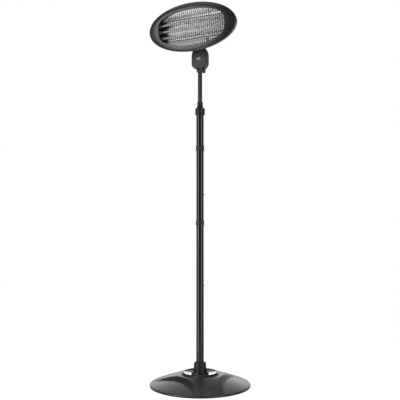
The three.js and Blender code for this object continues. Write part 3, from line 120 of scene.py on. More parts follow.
@dataclass(frozen=True)
class Finish:
    """One finish: its colour, gloss and relief, each with a real scale in millimetres.

    Attributes:
        name: The material's name.
        slot: The part's own material slot that it belongs to; not used.
        colour: Main colour.
        second: Colour that drifts in over patches.
        worn_lit_edge: Colour along sharp edges: rubbed wear, with a painted highlight on top.
        roughness: Lowest and highest roughness.
        pattern: How the surface was made.
        grain: Width of one grain.
        relief: Height of one grain.
        patch: Width of a patch of second colour.
        metallic: 1 for bare metal.
        ior: Index of refraction of what isn't metal.
        specular: Level of the plain reflection.
        transmission: Share of light let through.
        edge_wear_and_highlight: How far sharp edges turn to that colour of rubbed wear and painted
            highlight.
    """

    name: str
    slot: str
    colour: str
    second: str
    worn_lit_edge: str
    roughness: tuple[float, float]
    pattern: Pattern
    grain: float
    relief: float
    patch: float = 60.0
    metallic: float = 0.0
    ior: float = 1.5
    specular: float = 0.5
    transmission: float = 0.0
    edge_wear_and_highlight: float = 0.2

    def _grain(self, tree: bpy.types.NodeTree, place: bpy.types.NodeSocket) -> bpy.types.Node:
        """Builds the relief's height, from 0 to 1.

        Args:
            tree: The material's node tree.
            place: Object coordinates.

        Returns:
            The node whose first output is the height.
        """
        scale = 1 / (self.grain * MM)
        if self.pattern is Pattern.DRAWN:
            along = wired(tree, "ShaderNodeMapping", {"Scale": (1, 1, LINE_STRETCH), 0: place})
            return wired(tree, "ShaderNodeTexNoise", {"Scale": scale, "Detail": 2.0, 0: along})
        if self.pattern is Pattern.TURNED:
            flat = wired(
                tree, "ShaderNodeVectorMath", {"operation": "MULTIPLY", 1: (1, 1, 0), 0: place}
            )
            radius = wired(tree, "ShaderNodeVectorMath", {"operation": "LENGTH", 0: flat})
            return wired(
                tree, "ShaderNodeTexNoise",
                {"noise_dimensions": "1D", "Scale": scale, "Detail": 3.0,
                 "W": radius.outputs["Value"]},
            )
        if self.pattern is Pattern.ERODED:
            cells = {"feature": "SMOOTH_F1", "Scale": scale, "Vector": place}
            return wired(tree, "ShaderNodeTexVoronoi", cells)
        detail = {Pattern.SPRAYED: 1.0, Pattern.CAST: 6.0, Pattern.FIRED: 4.0}[self.pattern]
        return wired(tree, "ShaderNodeTexNoise", {"Scale": scale, "Detail": detail, 0: place})

    def material(self) -> bpy.types.Material:
        """Makes the material, or returns it if it is there already.

        Returns:
            The material with its nodes.
        """
        found = bpy.data.materials.get(self.name)
        if found:
            return found
        made = bpy.data.materials.new(self.name)
        made.use_nodes = True
        tree = made.node_tree
        shader = tree.nodes["Principled BSDF"]
        place = wired(tree, "ShaderNodeTexCoord").outputs["Object"]
        drift = wired(
            tree, "ShaderNodeTexNoise", {"Scale": 1 / (self.patch * MM), "Detail": 4.0, 0: place}
        )
        tone = wired(
            tree, "ShaderNodeMix",
            {"data_type": "RGBA", 6: linear(self.colour), 7: linear(self.second), 0: drift},
        )
        # Sharp edges turn lighter by pointiness: partly rubbed wear, partly a painted highlight.
        edges = wired(tree, "ShaderNodeNewGeometry").outputs["Pointiness"]
        rubbed_and_lit = wired(
            tree, "ShaderNodeMapRange",
            {"From Min": EDGE_SHARPNESS[0], "From Max": EDGE_SHARPNESS[1], "To Max": self.edge_wear_and_highlight,
             0: edges},
        )
        colour = wired(
            tree, "ShaderNodeMix",
            {"data_type": "RGBA", 7: linear(self.worn_lit_edge), 0: rubbed_and_lit, 6: tone.outputs[2]},
        )
        gloss = wired(
            tree, "ShaderNodeMapRange",
            {"From Min": DRIFT_RANGE[0], "From Max": DRIFT_RANGE[1], "To Min": self.roughness[0],
             "To Max": self.roughness[1], 0: drift},
        )
        bump = wired(
            tree, "ShaderNodeBump",
            {"Strength": 1.0, "Distance": self.relief * MM, "Height": self._grain(tree, place)},
        )
        for name, source in (("Base Color", colour.outputs[2]), ("Roughness", gloss.outputs[0]),
                             ("Normal", bump.outputs[0])):
            tree.links.new(source, shader.inputs[name])
        constants = {"Metallic": self.metallic, "Transmission Weight": self.transmission}
        if self.metallic == 0:
            constants |= {"IOR": self.ior, "Specular IOR Level": self.specular}
        for name, value in constants.items():
            shader.inputs[name].default_value = value
        return made


# Sprayed gunmetal enamel: a satin dark grey with the soft ripple of orange peel in its highlights.
GUNMETAL = Finish(
    "gunmetal_enamel", "gunmetal_paint", "#1f2022", "#252628", "#4c4e51", (0.25, 0.32),
    Pattern.SPRAYED, grain=2.4, relief=0.008, patch=90,
)
# Gloss black stove enamel: nearly black, with crisp light bands down the pole.
GLOSS_BLACK = Finish(
    "gloss_black_enamel", "gloss_black_paint", "#0a0a0b", "#0e0e0f", "#2a2a2b", (0.13, 0.19),
    Pattern.SPRAYED, grain=3.0, relief=0.003, patch=120,
)
# Satin black powder coat: a fine dry ripple that spreads the highlight.
SATIN_BLACK = Finish(
    "satin_black_powder_coat", "satin_black_paint", "#1e1f20", "#252627", "#515253", (0.36, 0.46),
    Pattern.SPRAYED, grain=0.9, relief=0.006,
)
# Phosphated steel of the small tab: matt black, so that it stands dark against the bright sheet.
PHOSPHATED = Finish(
    "phosphated_steel", "satin_black_paint", "#18181a", "#202022", "#404042", (0.7, 0.85),
    Pattern.CAST, grain=0.8, relief=0.01, patch=10,
)
# Moulded black polypropylene: dull black with the fine cells of a spark-eroded mould.
BLACK_PLASTIC = Finish(
    "moulded_black_polypropylene", "black_plastic", "#111112", "#171718", "#363637", (0.36, 0.46),
    Pattern.ERODED, grain=0.9, relief=0.012, ior=1.49, specular=0.4,
)
# Textured dark grey ABS: a coarser eroded grain that makes the neck look matt.
TEXTURED_PLASTIC = Finish(
    "textured_grey_abs", "textured_plastic", "#242526", "#2b2c2d", "#4d4e50", (0.48, 0.6),
    Pattern.ERODED, grain=1.3, relief=0.04, ior=1.53,
)
# Light grey nylon of the switch body.
GREY_PLASTIC = Finish(
    "light_grey_nylon", "grey_plastic", "#c2c2be", "#cfcfcb", "#dcdcd8", (0.45, 0.55),
    Pattern.ERODED, grain=0.8, relief=0.02, ior=1.53,
)
# Polished steel sheet, turned: a soft pale sheen with faint rings from the polishing wheel.
POLISHED_STEEL = Finish(
    "polished_steel", "polished_steel", "#a6a8ab", "#b6b8ba", "#d0d1d2", (0.4, 0.48),
    Pattern.TURNED, grain=0.8, relief=0.004, metallic=1.0,
)
# Brushed nickel plate of the badge: short lines that make it glow evenly.
BRUSHED_NICKEL = Finish(
    "brushed_nickel", "polished_steel", "#83837f", "#92928e", "#b0b0ac", (0.4, 0.5),
    Pattern.DRAWN, grain=0.3, relief=0.006, metallic=1.0,
)
# Zinc-plated steel: pale grey metal with cloudy patches.
ZINC = Finish(
    "zinc_plated_steel", "zinc_steel", "#9a9da1", "#b4b6b9", "#c9cbcd", (0.3, 0.44),
    Pattern.CAST, grain=1.4, relief=0.01, patch=6, metallic=1.0,
)
# Heat-darkened steel wire: it stands as fine dark lines against the bright sheet.
GUARD_WIRE = Finish(
    "heat_darkened_wire", "wire_steel", "#1c1d1f", "#26272a", "#55575a", (0.45, 0.55),
    Pattern.CAST, grain=3.0, relief=0.01, patch=20, metallic=1.0,
)
# Oxidised nickel-chromium winding: dark brown-grey wire inside the quartz.
RESISTANCE_WIRE = Finish(
    "oxidised_nichrome_wire", "resistance_wire", "#4b4540", "#5d554d", "#7a7067", (0.45, 0.6),
    Pattern.CAST, grain=0.6, relief=0.005, patch=8, metallic=1.0,
)
# Bright-rolled aluminium sheet: its soft blur and the rolls' faint waves melt the light into long
# bands along the troughs.
BRIGHT_ALUMINIUM = Finish(
    "bright_rolled_aluminium", "polished_aluminium", "#b4b6b8", "#c2c3c5", "#d4d5d6", (0.26, 0.3),
    Pattern.SPRAYED, grain=8.0, relief=0.01, patch=40, metallic=1.0,
)
# Grey cast iron of the weight: coarse sand grain.
CAST_IRON = Finish(
    "grey_cast_iron", "cast_iron", "#3c3d3e", "#4c4d4e", "#6b6c6d", (0.65, 0.8),
    Pattern.CAST, grain=2.2, relief=0.2, patch=25, metallic=1.0,
)
# Frosted quartz glass: milky white, through which the winding shows as a faint dark line.
FROSTED_QUARTZ = Finish(
    "frosted_quartz_glass", "frosted_quartz", "#dad9d5", "#e6e5e1", "#f0efec", (0.28, 0.4),
    Pattern.FIRED, grain=0.8, relief=0.01, ior=1.46, transmission=0.35,
)
# Unglazed steatite: dry off-white ceramic with a powdery speckle.
STEATITE = Finish(
    "unglazed_steatite", "white_ceramic", "#dcd9cf", "#e8e6de", "#f2f0ea", (0.55, 0.7),
    Pattern.FIRED, grain=0.7, relief=0.02, ior=1.6,
)
# Moulded EPDM rubber: black, dry and slightly dusty.
RUBBER = Finish(
    "moulded_epdm_rubber", "dark_rubber", "#161616", "#202020", "#3a3a3a", (0.75, 0.9),
    Pattern.ERODED, grain=1.0, relief=0.03, ior=1.52,
)


# ------------------------------------------------------------------ shapes


@dataclass
class Shape:
    """A closed mesh in millimetres, before it becomes a piece."""

    points: np.ndarray
    faces: list[tuple[int, ...]]

    def __add__(self, other: Shape) -> Shape:
        """Puts two shapes side by side in one."""
        shift = len(self.points)
        moved = [tuple(i + shift for i in face) for face in other.faces]
        return Shape(np.vstack([self.points, other.points]), self.faces + moved)

    def moved(self, x: float = 0.0, y: float = 0.0, z: float = 0.0) -> Shape:
        """Returns the shape moved by three distances."""
        return Shape(self.points + (x, y, z), self.faces)

    def turned(self, axis: str, degrees: float) -> Shape:
        """Returns the shape turned about X, Y or Z."""
        matrix = np.array(Matrix.Rotation(math.radians(degrees), 3, axis))
        return Shape(self.points @ matrix.T, self.faces)

    def crossways(self) -> Shape:
        """Returns a shape that was drawn in X and Y as one drawn in Y and Z, raised along X."""
        return Shape(self.points[:, [2, 0, 1]], self.faces)

    def joined(self, *tools: Shape) -> Shape:
        """Returns the shape with others joined to it."""
        return combined(self, Operation.JOIN, *tools)

    def cut(self, *tools: Shape) -> Shape:
        """Returns the shape with others cut out of it."""
        return combined(self, Operation.CUT, *tools)

    def shared(self, *tools: Shape) -> Shape:
        """Returns the part of the shape that is inside the others."""
        return combined(self, Operation.SHARE, *tools)

    def mesh(self, name: str) -> bpy.types.Mesh:
        """Returns the shape as a Blender mesh in metres."""
        made = bpy.data.meshes.new(name)
        made.from_pydata((self.points * MM).tolist(), [], self.faces)
        made.update()
        return made


def around(sides: int) -> np.ndarray:
    """Returns evenly spaced angles of a full turn."""
    return np.linspace(0, FULL_TURN, sides, endpoint=False)


def ellipse(turns: np.ndarray, half_x: float, half_y: float) -> np.ndarray:
    """Returns the points of an ellipse at given angles."""
    return np.column_stack([half_x * np.cos(turns), half_y * np.sin(turns)])


def at_height(line: np.ndarray, z: float) -> np.ndarray:
    """Returns a line in X and Y as points at a height."""
    return np.column_stack([line, np.full(len(line), z)])


def rounded(
    corners: Sequence | np.ndarray, reach: float | Sequence[float], closed: bool = True,
    steps: int = 4,
) -> np.ndarray:
    """Rounds the corners of a line, or of all lines that run through a stack of rings.

    Args:
        corners: Points, or rings of points, in order along the line.
        reach: How far each rounding reaches from its corner.
        closed: Whether the line closes on itself.
        steps: Facets of one rounding.

    Returns:
        The longer line or stack.
    """
    spots = np.asarray(corners, float)
    count = len(spots)
    reaches = np.broadcast_to(reach, count)
    line = []
    for i, here in enumerate(spots):
        at_end = not closed and i in (0, count - 1)
        if reaches[i] <= 0 or at_end:
            line.append(here)
            continue
        ends = []
        for other in (spots[i - 1], spots[(i + 1) % count]):
            away = other - here
            length = np.linalg.norm(away, axis=-1, keepdims=True)
            ends.append(here + away * np.minimum(reaches[i] / np.maximum(length, 1e-9), 0.48))
        for t in np.linspace(0, 1, steps + 1):
            line.append((1 - t) ** 2 * ends[0] + 2 * t * (1 - t) * here + t * t * ends[1])
    return np.array(line)


def volume_of(points: np.ndarray, faces: Sequence[Sequence[int]]) -> float:
    """Measures six times the signed volume inside faces of any number of corners.

    Args:
        points: The mesh's points.
        faces: Numbers of each face's points.

    Returns:
        A number above 0 if the faces look outwards.
    """
    total = 0.0
    by_count: dict[int, list] = {}
    for face in faces:
        by_count.setdefault(len(face), []).append(face)
    for count, group in by_count.items():
        corner = points[np.array(group)]
        for i in range(1, count - 1):
            cross = np.cross(corner[:, i], corner[:, i + 1])
            total += float(np.einsum("ij,ij->", corner[:, 0], cross))
    return total


def lofted(rings: np.ndarray, closed: bool = False) -> Shape:
    """Skins a stack of rings that have as many points each.

    Args:
        rings: Points by ring, by place round the ring, by axis.
        closed: Whether the last ring joins the first; otherwise both ends are capped.

    Returns:
        A closed shape with its faces outwards.
    """
    rows, sides = rings.shape[:2]
    points = rings.reshape(-1, 3)
    row = np.arange(rows if closed else rows - 1)[:, None] * sides
    here = np.arange(sides)[None, :]
    beside = (here + 1) % sides
    above = (row + sides) % (rows * sides)
    quads = np.stack([row + here, row + beside, above + beside, above + here], -1).reshape(-1, 4)
    faces = [tuple(face) for face in quads.tolist()]
    if not closed:
        faces.append(tuple(range(sides))[::-1])
        faces.append(tuple(range((rows - 1) * sides, rows * sides)))
    if volume_of(points, faces) < 0:
        faces = [face[::-1] for face in faces]
    return Shape(points, faces)


def revolved(
    profile: Sequence | np.ndarray, reach: float | Sequence[float] = 0.0, closed: bool = True,
    sides: int = 128, steps: int = 4,
) -> Shape:
    """Turns a profile of [radius, z] about Z.

    Args:
        profile: The profile's corners.
        reach: Rounding of the corners.
        closed: True for a ring with a bore; otherwise the profile runs from end to end of a solid.
        sides: Facets round the axis.
        steps: Facets of one rounding.

    Returns:
        The turned shape.
    """
    line = rounded(profile, reach, closed, steps)
    turns = around(sides)
    rings = np.stack(
        [
            np.outer(line[:, 0], np.cos(turns)), np.outer(line[:, 0], np.sin(turns)),
            np.repeat(line[:, 1:], sides, axis=1),
        ],
        axis=-1,
    )
    return lofted(rings, closed)


def barrel(
    outer: float, inner: float, z0: float, z1: float, edge: float = 0.4, sides: int = 128
) -> Shape:
    """Returns a hollow cylinder about Z with rounded edges."""
    return revolved([[inner, z0], [outer, z0], [outer, z1], [inner, z1]], edge, True, sides)


def rod(radius: float, z0: float, z1: float, edge: float = 0.0, sides: int = 64) -> Shape:
    """Makes a solid cylinder about Z, with rounded ends if there is an edge.

    Args:
        radius: Its radius.
        z0: Lower end.
        z1: Upper end.
        edge: Reach of the roundings.
        sides: Facets round it.

    Returns:
        The cylinder.
    """
    inner = radius - max(edge, radius * 0.2)
    if edge <= 0:
        return revolved([[radius, z0], [radius, z1]], 0.0, False, sides)
    return revolved([[inner, z0], [radius, z0], [radius, z1], [inner, z1]], edge, False, sides)


def block(low: Sequence[float], high: Sequence[float]) -> Shape:
    """Returns a box between two corners."""
    outline = np.array([[low[0], low[1]], [high[0], low[1]], [high[0], high[1]], [low[0], high[1]]])
    return extruded(outline, low[2], high[2])


def inset(outline: np.ndarray, distance: float) -> np.ndarray:
    """Moves a closed outline, which runs counter-clockwise, inwards square to its own line.

    Args:
        outline: Points in X and Y.
        distance: How far each side moves.

    Returns:
        The smaller outline.
    """
    ahead = np.roll(outline, -1, axis=0) - outline
    ahead /= np.linalg.norm(ahead, axis=1, keepdims=True)
    behind = np.roll(ahead, 1, axis=0)
    normal = np.stack([-(ahead + behind)[:, 1], (ahead + behind)[:, 0]], axis=1)
    normal *= 2 / np.maximum((normal**2).sum(axis=1, keepdims=True), 0.6)
    return outline + normal * distance


def extruded(
    outline: np.ndarray, z0: float, z1: float, low_edge: float = 0.0, high_edge: float = 0.0,
    steps: int = 5,
) -> Shape:
    """Raises a counter-clockwise outline from z0 to z1.

    Args:
        outline: Points in X and Y.
        z0: Lower face.
        z1: Upper face.
        low_edge: Radius of the rounding round the lower face.
        high_edge: Radius of the rounding round the upper face.
        steps: Facets of one rounding.

    Returns:
        The raised shape.
    """
    levels = []
    for edge, z, way in ((low_edge, z0, 1), (high_edge, z1, -1)):
        angles = np.linspace(0, math.pi / 2, steps + 1) if edge > 0 else np.array([math.pi / 2])
        curve = [(edge * (1 - math.sin(a)), z + way * edge * (1 - math.cos(a))) for a in angles]
        levels += curve if way > 0 else curve[::-1]
    return lofted(np.array([at_height(inset(outline, depth), z) for depth, z in levels]))


def swept(path: np.ndarray, radius: float, sides: int = 12, closed: bool = False) -> Shape:
    """Sweeps a circle along a path.

    Args:
        path: Points along the middle line.
        radius: The circle's radius.
        sides: Facets round the circle.
        closed: Whether the path closes on itself.

    Returns:
        The round bar.
    """
    ahead = np.roll(path, -1, axis=0) - np.roll(path, 1, axis=0)
    if not closed:
        ahead[0], ahead[-1] = path[1] - path[0], path[-1] - path[-2]
    ahead /= np.linalg.norm(ahead, axis=1, keepdims=True)
    side = np.cross(ahead, (0.0, 0.0, 1.0))
    side /= np.linalg.norm(side, axis=1, keepdims=True)
    up = np.cross(side, ahead)
    circle = ellipse(around(sides), radius, radius)
    rings = [
        here + np.outer(circle[:, 0], across) + np.outer(circle[:, 1], above)
        for here, across, above in zip(path, side, up)
    ]
    return lofted(np.array(rings), closed)


def loose(name: str, mesh: bpy.types.Mesh) -> bpy.types.Object:
    """Links a mesh to the scene as an object at the origin."""
    thing = bpy.data.objects.new(name, mesh)
    bpy.context.scene.collection.objects.link(thing)
    return thing


def evaluated_shape(thing: bpy.types.Object, *spare: bpy.types.Object) -> Shape:
    """Takes an object's shape with its modifiers, then removes it and the spare objects.

    Args:
        thing: The object that has the modifiers.
        spare: Objects that the modifiers used.

    Returns:
        The shape in millimetres.
    """
    graph = bpy.context.evaluated_depsgraph_get()
    mesh = bpy.data.meshes.new_from_object(thing.evaluated_get(graph), depsgraph=graph)
    points = np.empty(3 * len(mesh.vertices), np.float32)
    mesh.vertices.foreach_get("co", points)
    faces = [tuple(face.vertices) for face in mesh.polygons]
    for used in (thing, *spare):
        bpy.data.objects.remove(used)
    bpy.data.meshes.remove(mesh)
    return Shape(points.reshape(-1, 3).astype(float) / MM, faces)


class Operation(Enum):
    """What a boolean does with its tool."""

    JOIN = "UNION"
    CUT = "DIFFERENCE"
    SHARE = "INTERSECT"


def combined(shape: Shape, operation: Operation, *tools: Shape) -> Shape:
    """Joins, cuts or intersects a shape with each tool in turn.

    Args:
        shape: What is worked on.
        operation: What is done to it.
        tools: The shapes that it is done with.

    Returns:
        The result.
    """
    thing = loose("work", shape.mesh("work"))
    spare = []
    for tool in tools:
        spare.append(loose("tool", tool.mesh("tool")))
        modifier = thing.modifiers.new("boolean", "BOOLEAN")
        modifier.operation = operation.value
        modifier.solver = "MANIFOLD"
        modifier.object = spare[-1]
    return evaluated_shape(thing, *spare)


def softened(shape: Shape, width: float, angle: float = 50.0) -> Shape:
    """Rounds a shape's sharp edges.

    Args:
        shape: What is rounded.
        width: How far a rounding reaches from its edge.
        angle: Edges sharper than this many degrees are rounded.

    Returns:
        The softer shape.
    """
    thing = loose("work", shape.mesh("work"))
    modifier = thing.modifiers.new("bevel", "BEVEL")
    modifier.width = width * MM
    modifier.segments = 2
    modifier.limit_method = "ANGLE"
    modifier.angle_limit = math.radians(angle)
    return evaluated_shape(thing)


# ------------------------------------------------------------------ repeats, made by Geometry Nodes


class Repeater:
    """A Geometry Nodes tree with named inputs, whose result is one plain mesh."""

    name: ClassVar[str] = "repeat"
    inputs: ClassVar[dict[str, str]] = {}

    def __init__(self) -> None:
        """Builds the tree: its inputs, what it repeats, then Realize Instances and Set Material."""
        self.tree = bpy.data.node_groups.new(self.name, "GeometryNodeTree")
        face = self.tree.interface
        face.new_socket("Geometry", in_out="OUTPUT", socket_type="NodeSocketGeometry")
        self.sockets = {}
        for label, kind in {"Geometry": "Geometry", **self.inputs, "Finish": "Material"}.items():
            self.sockets[label] = face.new_socket(
                label, in_out="INPUT", socket_type=f"NodeSocket{kind}"
            )
        entry = wired(self.tree, "NodeGroupInput").outputs
        real = wired(self.tree, "GeometryNodeRealizeInstances", {0: self.repeat(entry)})
        dressed = wired(
            self.tree, "GeometryNodeSetMaterial", {0: real, "Material": entry["Finish"]}
        )
        wired(self.tree, "NodeGroupOutput", {0: dressed})

    def repeat(self, entry: bpy.types.bpy_prop_collection) -> bpy.types.Node:
        """Builds what is repeated from the named inputs; each kind of repeat has its own."""
        raise NotImplementedError

    def shape(self, finish: Finish, start: bpy.types.Mesh | None = None, **values: object) -> Shape:
        """Runs the tree.

        Args:
            finish: What the copies are made of.
            start: The mesh that the tree starts from, if it needs one.
            values: The named inputs, with lengths in millimetres and spaces written as underscores.

        Returns:
            The copies as one shape.
        """
        thing = loose("repeat", start or bpy.data.meshes.new("repeat"))
        modifier = thing.modifiers.new("repeat", "NODES")
        modifier.node_group = self.tree
        modifier[self.sockets["Finish"].identifier] = finish.material()
        spare = []
        for label, value in values.items():
            socket = self.sockets[label.replace("_", " ")]
            if isinstance(value, Shape):
                value = loose("copied", value.mesh("copied"))
                spare.append(value)
            elif isinstance(value, float) and "turn" not in label.lower():
                value *= MM
            modifier[socket.identifier] = value
        return evaluated_shape(thing, *spare)


class RingOfCopies(Repeater):
    """Copies of a piece round Z, each turned with its place."""

    name = "ring_of_copies"
    inputs = {"Piece": "Object", "Count": "Int", "Radius": "Float", "First turn": "Float"}

    def repeat(self, entry: bpy.types.bpy_prop_collection) -> bpy.types.Node:
        """Copies the piece onto the corners of a circle, and turns the circle last."""
        tree = self.tree
        circle = wired(
            tree, "GeometryNodeMeshCircle", {"Vertices": entry["Count"], "Radius": entry["Radius"]}
        )
        step = wired(
            tree, "ShaderNodeMath", {"operation": "DIVIDE", 0: FULL_TURN, 1: entry["Count"]}
        )
        index = wired(tree, "GeometryNodeInputIndex")
        turn = wired(tree, "ShaderNodeMath", {"operation": "MULTIPLY", 0: index, 1: step})
        facing = wired(tree, "ShaderNodeCombineXYZ", {"Z": turn})
        piece = wired(
            tree, "GeometryNodeObjectInfo", {"As Instance": True, "Object": entry["Piece"]}
        )
        copies = wired(
            tree, "GeometryNodeInstanceOnPoints",
            {"Points": circle, "Instance": piece.outputs["Geometry"], "Rotation": facing},
        )
        start = wired(tree, "ShaderNodeCombineXYZ", {"Z": entry["First turn"]})
        return wired(tree, "GeometryNodeTransform", {0: copies, "Rotation": start})


class RowOfCopies(Repeater):
    """Copies of a piece in a row."""

    name = "row_of_copies"
    inputs = {"Piece": "Object", "Count": "Int", "Start": "Vector", "Step": "Vector"}

    def repeat(self, entry: bpy.types.bpy_prop_collection) -> bpy.types.Node:
        """Copies the piece onto the points of a line."""
        line = wired(
            self.tree, "GeometryNodeMeshLine",
            {"Count": entry["Count"], "Start Location": entry["Start"], "Offset": entry["Step"]},
        )
        piece = wired(
            self.tree, "GeometryNodeObjectInfo", {"As Instance": True, "Object": entry["Piece"]}
        )
        return wired(
            self.tree, "GeometryNodeInstanceOnPoints",
            {"Points": line, "Instance": piece.outputs["Geometry"]},
        )


class GuardWires(Repeater):
    """Upright wires, one on each point, as long as the point's own attribute says."""

    name = "guard_wires"
    inputs = {"Wire radius": "Float", "Wire sides": "Int"}
    half_length: ClassVar[str] = "half_length"

    def repeat(self, entry: bpy.types.bpy_prop_collection) -> bpy.types.Node:
        """Stretches a round bar onto each point."""
        tree = self.tree
        bar = wired(
            tree, "GeometryNodeMeshCylinder",
            {"Depth": 2.0, "Vertices": entry["Wire sides"], "Radius": entry["Wire radius"]},
        )
        laid = wired(tree, "GeometryNodeTransform", {"Rotation": (math.pi / 2, 0, 0), 0: bar})
        half = wired(
            tree, "GeometryNodeInputNamedAttribute",
            {"data_type": "FLOAT", "Name": self.half_length},
        )
        size = wired(
            tree, "ShaderNodeCombineXYZ", {"X": 1.0, "Z": 1.0, "Y": half.outputs["Attribute"]}
        )
        return wired(
            tree, "GeometryNodeInstanceOnPoints",
            {"Points": entry["Geometry"], "Instance": laid, "Scale": size},
        )


class Winding(Repeater):
    """A wound wire about Z."""

    name = "winding"
    inputs = {"Turns": "Float", "Radius": "Float", "Length": "Float", "Wire radius": "Float"}

    def repeat(self, entry: bpy.types.bpy_prop_collection) -> bpy.types.Node:
        """Sweeps a small circle along a spiral."""
        spiral = wired(
            self.tree, "GeometryNodeCurveSpiral",
            {"Resolution": 10, "Rotations": entry["Turns"], "Start Radius": entry["Radius"],
             "End Radius": entry["Radius"], "Height": entry["Length"]},
        )
        circle = wired(
            self.tree, "GeometryNodeCurvePrimitiveCircle",
            {"Resolution": 5, "Radius": entry["Wire radius"]},
        )
        return wired(
            self.tree, "GeometryNodeCurveToMesh",
            {"Fill Caps": True, "Curve": spiral, "Profile Curve": circle},
        )


# ------------------------------------------------------------------ what the sub-assemblies share


class SubAssembly:
    """Finishes shapes as pieces and gives carried-over nodes their material."""

    body: ClassVar[str] = "stand"

    def add(
        self, name: str, shape: Shape, finish: Finish, *nodes: str, body: str | None = None,
        crease: float = 32.0,
    ) -> bpy.types.Object:
        """Makes a piece: a smooth mesh with its finish, riding on its body.

        Args:
            name: The piece's name.
            shape: Its shape in millimetres.
            finish: What it is made of.
            nodes: Nodes that it stands for.
            body: The body it rides on, if not the sub-assembly's own.
            crease: Edges sharper than this many degrees stay sharp.

        Returns:
            The piece.
        """
        mesh = shape.mesh(name)
        mesh.shade_smooth()
        mesh.set_sharp_from_angle(angle=math.radians(crease))
        rough = loose(name, mesh)
        weighted = rough.modifiers.new("normals", "WEIGHTED_NORMAL")
        weighted.keep_sharp = True
        graph = bpy.context.evaluated_depsgraph_get()
        final = bpy.data.meshes.new_from_object(rough.evaluated_get(graph), depsgraph=graph)
        bpy.data.objects.remove(rough)
        final.name = name
        final.materials.clear()
        final.materials.append(finish.material())
        piece = loose(name, final)
        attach(piece, body or self.body)
        if nodes:
            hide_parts(*nodes)
        log.info("%s: %d faces, %s", name, len(final.polygons), finish.name)
        return piece

    def dress(self, finish: Finish, *nodes: str) -> None:
        """Gives carried-over nodes their material.

        Args:
            finish: What they are made of.
            nodes: The nodes' names.
        """
        for name in nodes:
            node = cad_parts[name]
            for slot in node.material_slots:
                slot.material = finish.material()
            log.info("%s: %s", name, finish.name)


def span(node: str, axis: int = 2) -> tuple[float, float]:
    """Returns a node's lowest and highest place along an axis, in millimetres."""
    low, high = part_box(node)
    return low[axis] / MM, high[axis] / MM


def cross_screw(
    head_radius: float, head_height: float, shank_radius: float, length: float
) -> Shape:
    """Makes a pan-head screw along Z with a cross recess; its head's underside is at z = 0.

    Args:
        head_radius: Radius of the head.
        head_height: Height of the head.
        shank_radius: Radius of the shank.
        length: Length of the shank.

    Returns:
        The screw, pointing down.
    """
    body = revolved(
        [
            [shank_radius * 0.4, -length], [shank_radius, -length + shank_radius],
            [shank_radius, 0], [head_radius, 0], [head_radius, head_height * 0.45],
            [head_radius * 0.62, head_height],
            [head_radius * 0.3, head_height],
        ],
        [0, 0, 0, head_height * 0.1, head_height * 0.4, head_height * 0.4, 0], False, 40,
    )
    arm, width, depth = head_radius * 0.5, head_radius * 0.13, head_height * 0.6
    bars = [
        block([-arm, -width, head_height - depth], [arm, width, head_height + 1]),
        block([-width, -arm, head_height - depth], [width, arm, head_height + 1]),
    ]
    return body.cut(*bars)


# ------------------------------------------------------------------ base


